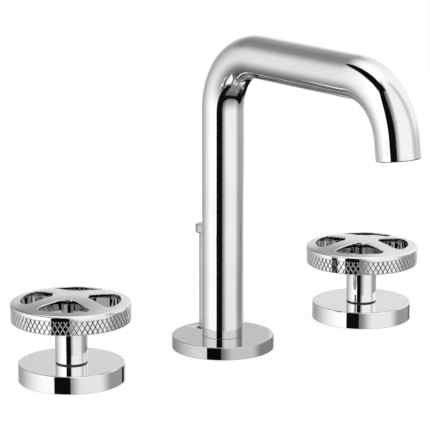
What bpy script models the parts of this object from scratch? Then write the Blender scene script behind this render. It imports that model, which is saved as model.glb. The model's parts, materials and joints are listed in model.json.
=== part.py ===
"""Widespread basin faucet.

A bent tube spout on its own escutcheon stands between two knurled wheel handles, each on an
escutcheon of the same width. A lift rod for the drain rises behind the spout. Below the deck are
the valve bodies with their ceramic cartridges, the spout's shank with its inlet tee, and the nuts
and washers that clamp each of the three to the deck.

Frame: +X to the user's right, +Y away from the user, +Z up. The deck's top is z = 0, and the
spout's riser stands on the origin. Hot is on the left, at -X.
"""
import math

import bmesh
import bpy
from mathutils import Matrix, Vector

MM = 0.001
DEGREE = math.pi / 180

# Overall layout
HANDLE_SPACING = 101.6 * MM         # spout centre to handle centre, 4 in, so 8 in between handles
DECK_THICKNESS = 20.0 * MM          # the deck that the nuts are drawn up against
FIT_GAP = 0.3 * MM                  # between pieces that seat on, screw into or slide past each other
RUN_GAP = 0.4 * MM                  # between a turning piece and a still one
OVERRUN = 2.0 * MM                  # how far a cutter passes the face it cuts
SLIVER = 0.005 * MM                 # points nearer than this are one point

# Roundness of the turned pieces
SHOWN_SIDES = 32
INNER_SIDES = 16
HEX_SIDES = 6
SPOUT_SIDES = 24
BEND_STEPS = 8
EDGE_STEPS = 2
DOME_STEPS = 4
OPENING_STEPS = 3
SHARP_ANGLE = 32 * DEGREE

# Escutcheons
ESCUTCHEON_D = 56.3 * MM
ESCUTCHEON_EDGE = 0.6 * MM          # rounding of the top edge
ESCUTCHEON_SKIRT = 3.0 * MM         # wall of the skirt that stands on the deck
ESCUTCHEON_PLATE = 2.8 * MM         # thickness of the top
SPOUT_ESCUTCHEON_H = 7.0 * MM
HANDLE_ESCUTCHEON_H = 9.5 * MM
GASKET_WIDTH = 3.0 * MM

# Spout tube
SPOUT_D = 22.9 * MM
SPOUT_WALL = 1.5 * MM
SPOUT_TOP = 177.0 * MM              # highest point of the level run, above the deck
SPOUT_BEND_R = 31.6 * MM            # both bends, on the tube's centre line
SPOUT_RUN = 76.6 * MM               # straight level part between the bends
SPOUT_TIP_BEND = 82 * DEGREE
SPOUT_TIP = 10.4 * MM               # straight part after the second bend

# Spout fixing
SHANK_D = 14.0 * MM
SHANK_BORE_D = 9.0 * MM
SHANK_BELOW = 60.0 * MM             # how far the shank reaches below the deck's top
FERRULE_H = 14.0 * MM
BOSS_WALL = 2.7 * MM                # the escutcheon's middle boss, which carries the tube's foot
WASHER_D = 46.0 * MM
RUBBER_T = 3.0 * MM
STEEL_T = 1.6 * MM
SPOUT_NUT_WALL = 3.5 * MM           # from the thread to each flat of the nut
NUT_H = 8.0 * MM

# Inlet tee under the spout
TEE_WALL = 3.7 * MM
TEE_H = 26.0 * MM
TEE_SOCKET = 10.0 * MM              # how deep the shank sits in the tee
TEE_ARM = 17.0 * MM                 # length of each nipple, from the tee's side
NIPPLE_D = 13.2 * MM
NIPPLE_BORE_D = 8.4 * MM
TEE_THROAT_D = 7.0 * MM
TEE_SEAL_T = 1.6 * MM
TEE_SEAL_WIDTH = 1.8 * MM

# Aerator in the spout's mouth
AERATOR_RECESS = 1.2 * MM
AERATOR_H = 7.4 * MM
AERATOR_WALL = 1.3 * MM
AERATOR_LIP = 1.2 * MM
SCREEN_T = 1.6 * MM
SCREEN_HOLE_D = 2.0 * MM
SCREEN_RING_HOLES = 6
SCREEN_RING_SHARE = 0.58            # hole circle as a share of the screen's radius
AERATOR_WASHER_T = 1.5 * MM

# Lift rod
ROD_D = 4.8 * MM
ROD_CLEAR = 3.45 * MM               # between the rod and the spout tube in front of it
ROD_BELOW = 84.0 * MM
KNOB_D = 8.9 * MM
KNOB_H = 4.7 * MM
KNOB_TOP = 66.4 * MM
KNOB_EDGE = 0.7 * MM
KNOB_ROOF = 1.4 * MM
BUSH_WALL = 0.9 * MM
BUSH_FLANGE = 1.4 * MM
BUSH_FLANGE_H = 1.5 * MM
BUSH_RECESS = 0.6 * MM              # depth of the flange's seat in the escutcheon's underside

# Wheel handle
WHEEL_D = 63.8 * MM
WHEEL_FOOT = 32.4 * MM              # underside of the rim, above the deck
KNURL_H = 7.4 * MM
KNURL_DEPTH = 0.3 * MM              # how far the knurled band lies inside the smooth one
BAND_H = 1.5 * MM
WHEEL_EDGE = 1.7 * MM               # radial width of the rounded top edge
WHEEL_EDGE_H = 1.35 * MM
DOME_R = 128.0 * MM                 # radius of the shallow dome on top
WHEEL_PLATE = 8.0 * MM              # depth of the openings' walls
RIM_WALL = 3.3 * MM
RIM_CHAMFER = 0.3 * MM
OPENING_LAND = 5.5 * MM             # top left between an opening and the band
OPENING_HUB_LAND = 1.15 * MM        # top left between an opening and the neck's outline
SPOKE_W = 9.0 * MM
OPENING_CORNER = 3.2 * MM
OPENING_HUB_CORNER = 0.9 * MM
OPENINGS = 4
HUB_PIN_H = 4.0 * MM                # the pin under the hub, pressed into the neck

# Neck, adapter and grub screw
NECK_D = 17.1 * MM
NECK_WALL = 2.25 * MM
RING_SHOWS = 0.55 * MM              # how much of the black ring stands above the escutcheon
RING_INSET = 0.25 * MM
RING_SEAT = 1.2 * MM
RING_WALL = 1.5 * MM
ADAPTER_WALL = 1.5 * MM
ADAPTER_H = 15.0 * MM
ADAPTER_DROP = 3.2 * MM             # from the hub's pin down to the adapter
ADAPTER_ROOF = 1.5 * MM
GRUB_D = 3.0 * MM
GRUB_RISE = 6.0 * MM                # height of the grub screw above the adapter's foot
GRUB_SINK = 0.3 * MM
KEY_AF = 1.3 * MM
KEY_SHARE = 0.5                     # depth of the key's socket as a share of the screw's length

# Valve body
BODY_WALL = 1.8 * MM                # barrel's wall round the bonnet nut
THREAD_SPARE = 7.5 * MM             # thread left below the nut
BODY_BLOCK_STEP = 2.0 * MM          # how far the block stands out past the thread
BODY_BLOCK_H = 21.0 * MM
INLET_ARM = 18.0 * MM               # length of the inlet nipple, from the block's foot
OUTLET_ARM = 15.0 * MM              # length of the outlet nipple, from the block's side
HANDLE_NUT_WALL = 5.0 * MM          # from the thread to each flat of the nut

# Cartridge
CARTRIDGE_D = 19.0 * MM
CARTRIDGE_FOOT = -25.0 * MM
CARTRIDGE_SHOULDER = -1.0 * MM
CARTRIDGE_NECK_WALL = 1.6 * MM
CARTRIDGE_TOP = 8.3 * MM
CARTRIDGE_WALL = 1.4 * MM
BONNET_STEP = 1.4 * MM              # how far the bonnet nut stands out past the cartridge
BONNET_H = 6.0 * MM
STEM_FLANGE_H = 2.6 * MM
TONGUE_W = 3.0 * MM
TONGUE_L = 10.0 * MM
TONGUE_H = 1.2 * MM
DISC_T = 3.0 * MM
PORT_WEB = 3.2 * MM                 # ceramic left between the two ports
PORT_LAND = 0.6 * MM                # ceramic left between a port and the disc's edge
CHANNEL_T = 1.5 * MM                # depth of the moving disc's water channel
SEAL_T = 1.8 * MM
O_RING_T = 1.6 * MM
O_RING_DOWN_SHARE = 0.22            # the O-ring's place below the shoulder, in the straight part

# Finishes: colour, metallic, roughness
CHROME = ("chrome", (0.86, 0.87, 0.88, 1), 1.0, 0.04)
BRASS = ("brass", (0.72, 0.55, 0.27, 1), 1.0, 0.3)
STEEL = ("zinc_plated_steel", (0.62, 0.63, 0.64, 1), 1.0, 0.35)
RUBBER = ("black_rubber", (0.03, 0.03, 0.03, 1), 0.0, 0.7)
PLASTIC = ("black_plastic", (0.02, 0.02, 0.02, 1), 0.0, 0.4)
WHITE_PLASTIC = ("white_plastic", (0.8, 0.8, 0.78, 1), 0.0, 0.4)
CERAMIC = ("white_ceramic", (0.88, 0.87, 0.84, 1), 0.0, 0.2)

# Spout and escutcheon sizes that follow
SPOUT_R = SPOUT_D / 2
TUBE_FOOT = SPOUT_ESCUTCHEON_H + FIT_GAP
TUBE_BORE_R = SPOUT_R - SPOUT_WALL
SHANK_R = SHANK_D / 2
SHANK_HOLE_R = SHANK_R + FIT_GAP
TEE_R = SHANK_HOLE_R + TEE_WALL
NIPPLE_R = NIPPLE_D / 2
NIPPLE_BORE_R = NIPPLE_BORE_D / 2

# Lift rod sizes that follow
ROD_R = ROD_D / 2
ROD_BEHIND = SPOUT_R + ROD_CLEAR + ROD_R
BUSH_BORE_R = ROD_R + FIT_GAP
BUSH_R = BUSH_BORE_R + BUSH_WALL
BUSH_FLANGE_R = BUSH_R + BUSH_FLANGE
BUSH_SEAT = SPOUT_ESCUTCHEON_H - ESCUTCHEON_PLATE + BUSH_RECESS

# Clamp heights that follow
WASHER_TOP = -DECK_THICKNESS - FIT_GAP
STEEL_TOP = WASHER_TOP - RUBBER_T - FIT_GAP
NUT_TOP = STEEL_TOP - STEEL_T - FIT_GAP

# Wheel sizes that follow
BAND_TOP = WHEEL_FOOT + KNURL_H + BAND_H
DOME_EDGE_R = WHEEL_D / 2 - WHEEL_EDGE
DOME_TOP = BAND_TOP + WHEEL_EDGE_H + DOME_R - math.sqrt(DOME_R ** 2 - DOME_EDGE_R ** 2)
HUB_UNDER = DOME_TOP - WHEEL_PLATE
HUB_PIN_FOOT = HUB_UNDER - HUB_PIN_H
OPENING_OUT_R = WHEEL_D / 2 - OPENING_LAND
OPENING_HUB_R = NECK_D / 2 + OPENING_HUB_LAND

# Neck, ring, adapter and stem, each inside the one before
NECK_R = NECK_D / 2
NECK_BORE_R = NECK_R - NECK_WALL
ADAPTER_R = NECK_BORE_R - FIT_GAP
ADAPTER_BORE_R = ADAPTER_R - ADAPTER_WALL
STEM_R = ADAPTER_BORE_R - FIT_GAP
ADAPTER_TOP = HUB_PIN_FOOT - ADAPTER_DROP
ADAPTER_FOOT = ADAPTER_TOP - ADAPTER_H
RING_TOP = HANDLE_ESCUTCHEON_H + RING_SHOWS
RING_FOOT = HANDLE_ESCUTCHEON_H - RING_SEAT
RING_R = NECK_R - RING_INSET
RING_BORE_R = RING_R - RING_WALL

# Cartridge and valve body, each round the one before
CARTRIDGE_R = CARTRIDGE_D / 2
CARTRIDGE_ROOM_R = CARTRIDGE_R - CARTRIDGE_WALL
CARTRIDGE_BORE_R = STEM_R + RUN_GAP
CARTRIDGE_NECK_R = CARTRIDGE_BORE_R + CARTRIDGE_NECK_WALL
FIXED_DISC_R = CARTRIDGE_ROOM_R - FIT_GAP
MOVING_DISC_R = CARTRIDGE_ROOM_R - RUN_GAP
FIXED_DISC_FOOT = CARTRIDGE_FOOT + FIT_GAP
MOVING_DISC_FOOT = FIXED_DISC_FOOT + DISC_T + FIT_GAP
STEM_FLANGE_FOOT = MOVING_DISC_FOOT + DISC_T + FIT_GAP
SEAL_TOP = CARTRIDGE_FOOT - FIT_GAP
SEAL_FOOT = SEAL_TOP - SEAL_T
PORT_R = (FIXED_DISC_R - PORT_LAND - PORT_WEB / 2) / 2
PORT_OFFSET = PORT_WEB / 2 + PORT_R
BONNET_R = CARTRIDGE_R + BONNET_STEP
BONNET_FOOT = CARTRIDGE_SHOULDER + FIT_GAP
BODY_TOP = BONNET_FOOT + BONNET_H
BODY_R = BONNET_R + FIT_GAP + BODY_WALL
BODY_HOLE_R = BODY_R + FIT_GAP
BODY_BLOCK_TOP = NUT_TOP - NUT_H - THREAD_SPARE
BODY_BLOCK_R = BODY_R + BODY_BLOCK_STEP


def clear_scene():
    """Removes whatever the file holds, so that the part is built in an empty scene."""
    for old in list(bpy.data.objects):
        bpy.data.objects.remove(old, do_unlink=True)


def finish(spec):
    """The material of a finish, made once and shared by the pieces that have it."""
    name, colour, metallic, roughness = spec
    material = bpy.data.materials.get(name)
    if material is None:
        material = bpy.data.materials.new(name)
        material.use_nodes = True
        shader = material.node_tree.nodes["Principled BSDF"]
        shader.inputs["Base Color"].default_value = colour
        shader.inputs["Metallic"].default_value = metallic
        shader.inputs["Roughness"].default_value = roughness
        material.diffuse_color = colour
    return material


def add_object(name, mesh_builder, spec, place, parent=None):
    """Turns a bmesh into a named object with its finish, at a place in its parent's frame."""
    mesh = bpy.data.meshes.new(name)
    bmesh.ops.recalc_face_normals(mesh_builder, faces=mesh_builder.faces)
    mesh_builder.to_mesh(mesh)
    mesh_builder.free()
    mesh.shade_smooth()
    mesh.set_sharp_from_angle(angle=SHARP_ANGLE)
    mesh.materials.append(finish(spec))
    obj = bpy.data.objects.new(name, mesh)
    bpy.context.scene.collection.objects.link(obj)
    obj.parent = parent
    obj.matrix_basis = place
    return obj


def spun(profile, sides):
    """A closed outline of (radius, height) points, spun once about Z."""
    builder = bmesh.new()
    corners = [builder.verts.new((radius, 0, height)) for radius, height in profile]
    edges = [builder.edges.new((corners[i - 1], corners[i])) for i in range(len(corners))]
    on_axis = [edge for edge in edges if all(abs(v.co.x) < SLIVER for v in edge.verts)]
    for edge in on_axis:
        edges.remove(edge)
        builder.edges.remove(edge)
    bmesh.ops.spin(
        builder, geom=corners + edges, cent=(0, 0, 0), axis=(0, 0, 1), angle=2 * math.pi,
        steps=sides, use_merge=True, use_duplicate=False)
    bmesh.ops.remove_doubles(builder, verts=builder.verts, dist=SLIVER)
    return builder


def turned(name, profile, spec, place, parent=None, sides=INNER_SIDES):
    """A piece turned on a lathe."""
    return add_object(name, spun(profile, sides), spec, place, parent)


def tube_profile(outer_r, inner_r, low, high):
    """The outline of a plain ring or sleeve."""
    return [(outer_r, high), (outer_r, low), (inner_r, low), (inner_r, high)]


def rod_profile(radius, low, high):
    """The outline of a plain solid rod."""
    return [(0, high), (radius, high), (radius, low), (0, low)]


def rounded_edge(centre_r, centre_z, radial, rise, steps=EDGE_STEPS):
    """Points of a quarter ellipse from the top of an edge round to its side."""
    angles = [math.pi / 2 * (1 - i / steps) for i in range(steps + 1)]
    return [(centre_r + radial * math.cos(a), centre_z + rise * math.sin(a)) for a in angles]


def make_cutter(name, builder, place, parent=None):
    """A helper that only cuts: kept out of renders, and drawn as wires."""
    cutter = add_object(name, builder, STEEL, place, parent)
    cutter.hide_render = True
    cutter.display_type = "WIRE"
    return cutter


def shape_with(obj, tool, operation):
    """Joins a tool's shape to an object, or cuts it away, then merges the slivers left by the cut."""
    modifier = obj.modifiers.new(tool.name, "BOOLEAN")
    modifier.operation = operation
    modifier.solver = "EXACT"
    modifier.object = tool
    weld = obj.modifiers.new(tool.name + "_weld", "WELD")
    weld.merge_threshold = SLIVER


def cut_hole(obj, radius, low, high, place, sides=INNER_SIDES, parent=None):
    """Drills a round hole along the place's own Z, from low to high."""
    tag = "%s_cutter_%d" % (obj.name, len(obj.modifiers))
    drill = make_cutter(tag, spun(rod_profile(radius, low, high), sides), place, parent)
    shape_with(obj, drill, "DIFFERENCE")


def join_rod(obj, radius, low, high, place, parent=None):
    """Joins a round rod along the place's own Z, from low to high."""
    tag = "%s_joined_%d" % (obj.name, len(obj.modifiers))
    rod = make_cutter(tag, spun(rod_profile(radius, low, high), INNER_SIDES), place, parent)
    shape_with(obj, rod, "UNION")


def block(size, centre):
    """A box, as a bmesh, with its faces along the axes."""
    builder = bmesh.new()
    bmesh.ops.create_cube(builder, size=1)
    bmesh.ops.scale(builder, vec=size, verts=builder.verts)
    bmesh.ops.translate(builder, vec=centre, verts=builder.verts)
    return builder


def at(x=0.0, y=0.0, z=0.0):
    """A place with no turn."""
    return Matrix.Translation((x, y, z))


def along_x(x=0.0, y=0.0, z=0.0, side=1):
    """A place whose own Z points along X, or along -X where side is -1."""
    return at(x, y, z) @ Matrix(((0, 0, side), (0, 1, 0), (-side, 0, 0))).to_4x4()


def along_y(x=0.0, y=0.0, z=0.0):
    """A place whose own Z points along +Y."""
    return at(x, y, z) @ Matrix(((1, 0, 0), (0, 0, 1), (0, -1, 0))).to_4x4()


def arm(x, parent_name):
    """An empty on a valve's axis, which carries all that belongs to one handle."""
    empty = bpy.data.objects.new(parent_name, None)
    bpy.context.scene.collection.objects.link(empty)
    empty.location = (x, 0, 0)
    return empty


def hexagon_nut(name, flat_r, bore_r, low, high, parent=None):
    """A brass hexagon nut with a plain bore, flat_r from its axis to each flat."""
    corner_r = flat_r / math.cos(math.pi / HEX_SIDES)
    nut = turned(name, rod_profile(corner_r, low, high), BRASS, at(), parent, HEX_SIDES)
    cut_hole(nut, bore_r, low - OVERRUN, high + OVERRUN, at(), parent=parent)


def clamp_stack(prefix, thread_r, nut_wall, parent=None):
    """The rubber washer, steel washer and nut that clamp a threaded body under the deck."""
    bore_r = thread_r + FIT_GAP
    rubber = tube_profile(WASHER_D / 2, bore_r, WASHER_TOP - RUBBER_T, WASHER_TOP)
    steel = tube_profile(WASHER_D / 2, bore_r, STEEL_TOP - STEEL_T, STEEL_TOP)
    pieces = [
        turned(prefix + "_rubber_washer", rubber, RUBBER, at(), parent),
        turned(prefix + "_steel_washer", steel, STEEL, at(), parent)]
    nut_foot = NUT_TOP - NUT_H
    hexagon_nut(prefix + "_mounting_nut", thread_r + nut_wall, bore_r, nut_foot, NUT_TOP, parent)
    return pieces


def escutcheon_profile(height, top_hole_r, boss_r, boss_bore_r, boss_top, boss_foot):
    """Outer side from the top hole round to the foot, then the hollow and the middle boss."""
    out_r = ESCUTCHEON_D / 2
    under = height - ESCUTCHEON_PLATE
    profile = [(top_hole_r, height)]
    edge = ESCUTCHEON_EDGE
    profile += rounded_edge(out_r - edge, height - edge, edge, edge)
    profile += [(out_r, 0), (out_r - ESCUTCHEON_SKIRT, 0), (out_r - ESCUTCHEON_SKIRT, under)]
    profile += [(boss_r, under), (boss_r, boss_foot), (boss_bore_r, boss_foot), (boss_bore_r, boss_top)]
    return profile


def gasket(name, height, parent=None):
    """The foam ring inside an escutcheon's skirt, flush with its foot."""
    out_r = ESCUTCHEON_D / 2 - ESCUTCHEON_SKIRT - FIT_GAP
    top = height - ESCUTCHEON_PLATE - FIT_GAP
    return turned(name, tube_profile(out_r, out_r - GASKET_WIDTH, 0, top), RUBBER, at(), parent)


def forward(heading):
    """Direction along the tube: up at a heading of 90 degrees, towards -Y at zero."""
    return Vector((0, -math.cos(heading), math.sin(heading)))


def inward(heading):
    """Direction across the tube, towards the centre of its bends."""
    return Vector((0, -math.sin(heading), -math.cos(heading)))


def spout_stations():
    """Centre points and headings along the spout, from its foot to its mouth."""
    riser = SPOUT_TOP - SPOUT_R - SPOUT_BEND_R - TUBE_FOOT
    point, heading = Vector((0, 0, TUBE_FOOT)), math.pi / 2
    stations = [(point.copy(), heading)]
    for length, turn in ((riser, math.pi / 2), (SPOUT_RUN, SPOUT_TIP_BEND), (SPOUT_TIP, 0)):
        point += length * forward(heading)
        stations.append((point.copy(), heading))
        centre = point + SPOUT_BEND_R * inward(heading)
        steps = round(BEND_STEPS * turn / (math.pi / 2))
        for i in range(1, steps + 1):
            angle = heading - turn * i / steps
            point = centre - SPOUT_BEND_R * inward(angle)
            stations.append((point.copy(), angle))
        heading -= turn
    return stations


def mouth_place():
    """A place at the spout's mouth whose own Z points out of the mouth."""
    point, heading = spout_stations()[-1]
    side, out = Vector((1, 0, 0)), forward(heading)
    return Matrix.Translation(point) @ Matrix((side, out.cross(side), out)).transposed().to_4x4()


def ring_at(builder, point, heading, radius):
    """A loop of points square to the tube's centre line."""
    side, outward = Vector((1, 0, 0)), -inward(heading)
    turns = [2 * math.pi * i / SPOUT_SIDES for i in range(SPOUT_SIDES)]
    return [builder.verts.new(point + radius * (math.cos(t) * side + math.sin(t) * outward)) for t in turns]


def bridge(builder, first, second):
    """Joins two loops of points with a band of faces."""
    for i in range(len(first)):
        builder.faces.new((first[i - 1], first[i], second[i], second[i - 1]))


def make_spout_tube():
    """The bent tube, with its bore open at the foot and at the mouth."""
    builder = bmesh.new()
    stations = spout_stations()
    outer = [ring_at(builder, point, heading, SPOUT_R) for point, heading in stations]
    inner = [ring_at(builder, point, heading, TUBE_BORE_R) for point, heading in stations]
    loops = outer + inner[::-1]
    for i in range(len(loops)):
        bridge(builder, loops[i - 1], loops[i])
    add_object("spout_tube", builder, CHROME, at())


def make_spout_fixing():
    """Ferrule, shank, escutcheon, gasket, washers and nut of the spout."""
    foot = TUBE_FOOT + FIT_GAP
    top = foot + FERRULE_H
    turned("spout_ferrule", tube_profile(TUBE_BORE_R - FIT_GAP, SHANK_HOLE_R, foot, top), BRASS, at())
    turned("spout_shank", tube_profile(SHANK_R, SHANK_BORE_D / 2, -SHANK_BELOW, top), BRASS, at())
    height = SPOUT_ESCUTCHEON_H
    profile = escutcheon_profile(height, SHANK_HOLE_R, SHANK_HOLE_R + BOSS_WALL, SHANK_HOLE_R, height, 0)
    escutcheon = turned("spout_escutcheon", profile[:-1], CHROME, at(), sides=SHOWN_SIDES)
    rod_place = at(y=ROD_BEHIND)
    cut_hole(escutcheon, BUSH_R + FIT_GAP, -OVERRUN, height + OVERRUN, rod_place)
    cut_hole(escutcheon, BUSH_FLANGE_R + FIT_GAP, -OVERRUN, BUSH_SEAT, rod_place)
    ring = gasket("spout_gasket", height)
    cut_hole(ring, BUSH_FLANGE_R + FIT_GAP, -OVERRUN, height, rod_place)
    for washer in clamp_stack("spout", SHANK_R, SPOUT_NUT_WALL):
        cut_hole(washer, ROD_R + RUN_GAP, NUT_TOP, -DECK_THICKNESS, rod_place)


def make_inlet_tee():
    """The tee that brings hot and cold together, screwed on the shank's foot, and its seal."""
    top = TEE_SOCKET - SHANK_BELOW
    seal_top = -SHANK_BELOW - FIT_GAP
    socket_floor = seal_top - TEE_SEAL_T - FIT_GAP
    middle = socket_floor - NIPPLE_R
    reach = TEE_R + TEE_ARM
    tee = turned("inlet_tee", rod_profile(TEE_R, top - TEE_H, top), BRASS, at())
    join_rod(tee, NIPPLE_R, -reach, reach, along_x(z=middle))
    cut_hole(tee, SHANK_HOLE_R, socket_floor, top + OVERRUN, at())
    cut_hole(tee, TEE_THROAT_D / 2, middle, top, at())
    cut_hole(tee, NIPPLE_BORE_R, -reach - OVERRUN, reach + OVERRUN, along_x(z=middle))
    seal = tube_profile(SHANK_R, SHANK_R - TEE_SEAL_WIDTH, seal_top - TEE_SEAL_T, seal_top)
    turned("inlet_tee_seal", seal, RUBBER, at())


def make_aerator():
    """Housing, screen and washer inside the spout's mouth, on the mouth's own axis."""
    place = mouth_place()
    out_r = TUBE_BORE_R - FIT_GAP
    in_r = out_r - AERATOR_WALL
    face, back = -AERATOR_RECESS, -AERATOR_RECESS - AERATOR_H
    lip_r, lip_back = in_r - AERATOR_LIP, face - AERATOR_LIP
    housing = [(out_r, back), (out_r, face), (lip_r, face), (lip_r, lip_back), (in_r, lip_back), (in_r, back)]
    turned("aerator_housing", housing, PLASTIC, place)
    screen_face = lip_back - FIT_GAP
    screen_back, screen_r = screen_face - SCREEN_T, in_r - FIT_GAP
    screen = turned("aerator_screen", rod_profile(screen_r, screen_back, screen_face), STEEL, place)
    holes = [(0, 0)]
    for i in range(SCREEN_RING_HOLES):
        angle = 2 * math.pi * i / SCREEN_RING_HOLES
        ring_r = screen_r * SCREEN_RING_SHARE
        holes.append((ring_r * math.cos(angle), ring_r * math.sin(angle)))
    for x, y in holes:
        low, high = screen_back - OVERRUN, screen_face + OVERRUN
        cut_hole(screen, SCREEN_HOLE_D / 2, low, high, place @ at(x, y), sides=INNER_SIDES // 2)
    washer_face = back - FIT_GAP
    washer = tube_profile(out_r, lip_r, washer_face - AERATOR_WASHER_T, washer_face)
    turned("aerator_washer", washer, RUBBER, place)


def make_lift_rod():
    """The rod that works the drain, its knob, and the bush it slides in."""
    place = at(y=ROD_BEHIND)
    knob_foot, knob_roof = KNOB_TOP - KNOB_H, KNOB_TOP - KNOB_ROOF
    turned("lift_rod", rod_profile(ROD_R, -ROD_BELOW, knob_roof - FIT_GAP), CHROME, place)
    edge_r = KNOB_D / 2 - KNOB_EDGE
    top_edge = rounded_edge(edge_r, KNOB_TOP - KNOB_EDGE, KNOB_EDGE, KNOB_EDGE)
    foot_edge = [(r, KNOB_TOP + knob_foot - z) for r, z in reversed(top_edge)]
    bore = [(BUSH_BORE_R, knob_foot), (BUSH_BORE_R, knob_roof), (0, knob_roof)]
    turned("lift_rod_knob", [(0, KNOB_TOP)] + top_edge + foot_edge + bore, CHROME, place)
    flange_top, flange_foot = BUSH_SEAT - FIT_GAP, BUSH_SEAT - FIT_GAP - BUSH_FLANGE_H
    bush = [(BUSH_BORE_R, SPOUT_ESCUTCHEON_H), (BUSH_R, SPOUT_ESCUTCHEON_H), (BUSH_R, flange_top)]
    bush += [(BUSH_FLANGE_R, flange_top), (BUSH_FLANGE_R, flange_foot), (BUSH_BORE_R, flange_foot)]
    turned("lift_rod_bush", bush, PLASTIC, place)


def dome_z(radius, crown):
    """Height of the wheel's shallow dome, or of its underside, at a radius."""
    return crown - DOME_R + math.sqrt(DOME_R ** 2 - radius ** 2)


def wheel_profile():
    """Dome, rounded edge, smooth band, knurled band's outer size, hollow and hub pin."""
    band_r, knurl_r = WHEEL_D / 2, WHEEL_D / 2 - KNURL_DEPTH
    knurl_top, wall_r, pin_r = WHEEL_FOOT + KNURL_H, band_r - RIM_WALL, ADAPTER_R
    radii = [DOME_EDGE_R * i / DOME_STEPS for i in range(DOME_STEPS)]
    profile = [(radius, dome_z(radius, DOME_TOP)) for radius in radii]
    profile += rounded_edge(DOME_EDGE_R, BAND_TOP, WHEEL_EDGE, WHEEL_EDGE_H)
    profile += [(band_r, knurl_top), (knurl_r, knurl_top), (knurl_r, WHEEL_FOOT + RIM_CHAMFER)]
    profile += [(knurl_r - RIM_CHAMFER, WHEEL_FOOT), (wall_r, WHEEL_FOOT)]
    under = [wall_r + (pin_r - wall_r) * i / DOME_STEPS for i in range(DOME_STEPS + 1)]
    profile += [(radius, dome_z(radius, HUB_UNDER)) for radius in under]
    profile += [(pin_r, HUB_PIN_FOOT), (0, HUB_PIN_FOOT)]
    return profile


def arc(centre, radius, start, end):
    """Points of an arc from one angle to another, both ends kept."""
    angles = [start + (end - start) * i / OPENING_STEPS for i in range(OPENING_STEPS + 1)]
    return [(centre[0] + radius * math.cos(a), centre[1] + radius * math.sin(a)) for a in angles]


def opening_outline():
    """One opening between two spokes, on the +X +Y diagonal: a sector with rounded corners."""
    side = SPOKE_W / 2
    outer_v = side + OPENING_CORNER
    outer_u = math.sqrt((OPENING_OUT_R - OPENING_CORNER) ** 2 - outer_v ** 2)
    outer_angle = math.atan2(outer_v, outer_u)
    hub_v = side + OPENING_HUB_CORNER
    hub_u = math.sqrt((OPENING_HUB_R + OPENING_HUB_CORNER) ** 2 - hub_v ** 2)
    hub_angle = math.atan2(hub_v, hub_u)
    square = math.pi / 2
    outline = arc((outer_u, outer_v), OPENING_CORNER, -square, outer_angle)
    outline += arc((0, 0), OPENING_OUT_R, outer_angle, square - outer_angle)[1:-1]
    outline += arc((outer_v, outer_u), OPENING_CORNER, square - outer_angle, 2 * square)
    outline += arc((hub_v, hub_u), OPENING_HUB_CORNER, 2 * square, 3 * square - hub_angle)
    outline += arc((0, 0), OPENING_HUB_R, square - hub_angle, hub_angle)[1:-1]
    outline += arc((hub_u, hub_v), OPENING_HUB_CORNER, 2 * square + hub_angle, 3 * square)
    return outline


def openings_cutter():
    """Four upright prisms, one for each opening between the spokes."""
    builder = bmesh.new()
    low = dome_z(OPENING_OUT_R, HUB_UNDER) - OVERRUN
    height = DOME_TOP + OVERRUN - low
    for quarter in range(OPENINGS):
        turn = Matrix.Rotation(2 * math.pi * quarter / OPENINGS, 3, "Z")
        foot = [builder.verts.new(turn @ Vector((x, y, low))) for x, y in opening_outline()]
        face = builder.faces.new(foot)
        raised = bmesh.ops.extrude_face_region(builder, geom=[face])
        tops = [item for item in raised["geom"] if isinstance(item, bmesh.types.BMVert)]
        bmesh.ops.translate(builder, verts=tops, vec=(0, 0, height))
    return builder


def make_handle(prefix, parent):
    """All that turns with one wheel: wheel, neck, grub screw, adapter, stem and moving disc."""
    wheel = turned(prefix + "_wheel", wheel_profile(), CHROME, at(), parent, SHOWN_SIDES)
    openings = make_cutter(prefix + "_openings", openings_cutter(), at(), parent)
    shape_with(wheel, openings, "DIFFERENCE")
    neck_top = dome_z(NECK_R, HUB_UNDER) - FIT_GAP
    profile = tube_profile(NECK_R, NECK_BORE_R, RING_TOP + FIT_GAP, neck_top)
    neck = turned(prefix + "_neck", profile, CHROME, at(), parent, SHOWN_SIDES)
    grub_r, grub_place = GRUB_D / 2, along_y(z=ADAPTER_FOOT + GRUB_RISE)
    cut_hole(neck, grub_r + FIT_GAP, 0, NECK_R + OVERRUN, grub_place, parent=parent)
    foot, face = ADAPTER_R + FIT_GAP, NECK_R - GRUB_SINK
    key_floor = face - (face - foot) * KEY_SHARE
    grub = turned(prefix + "_grub_screw", rod_profile(grub_r, foot, face), STEEL, grub_place, parent)
    cut_hole(grub, KEY_AF / 2, key_floor, face + OVERRUN, grub_place, HEX_SIDES, parent)
    make_adapter(prefix, parent)
    make_stem(prefix, parent)


def make_adapter(prefix, parent):
    """The cap that fits the neck's bore to the stem's top."""
    roof = ADAPTER_TOP - ADAPTER_ROOF
    profile = [(0, ADAPTER_TOP), (ADAPTER_R, ADAPTER_TOP), (ADAPTER_R, ADAPTER_FOOT)]
    profile += [(ADAPTER_BORE_R, ADAPTER_FOOT), (ADAPTER_BORE_R, roof), (0, roof)]
    turned(prefix + "_spline_adapter", profile, BRASS, at(), parent)


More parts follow.
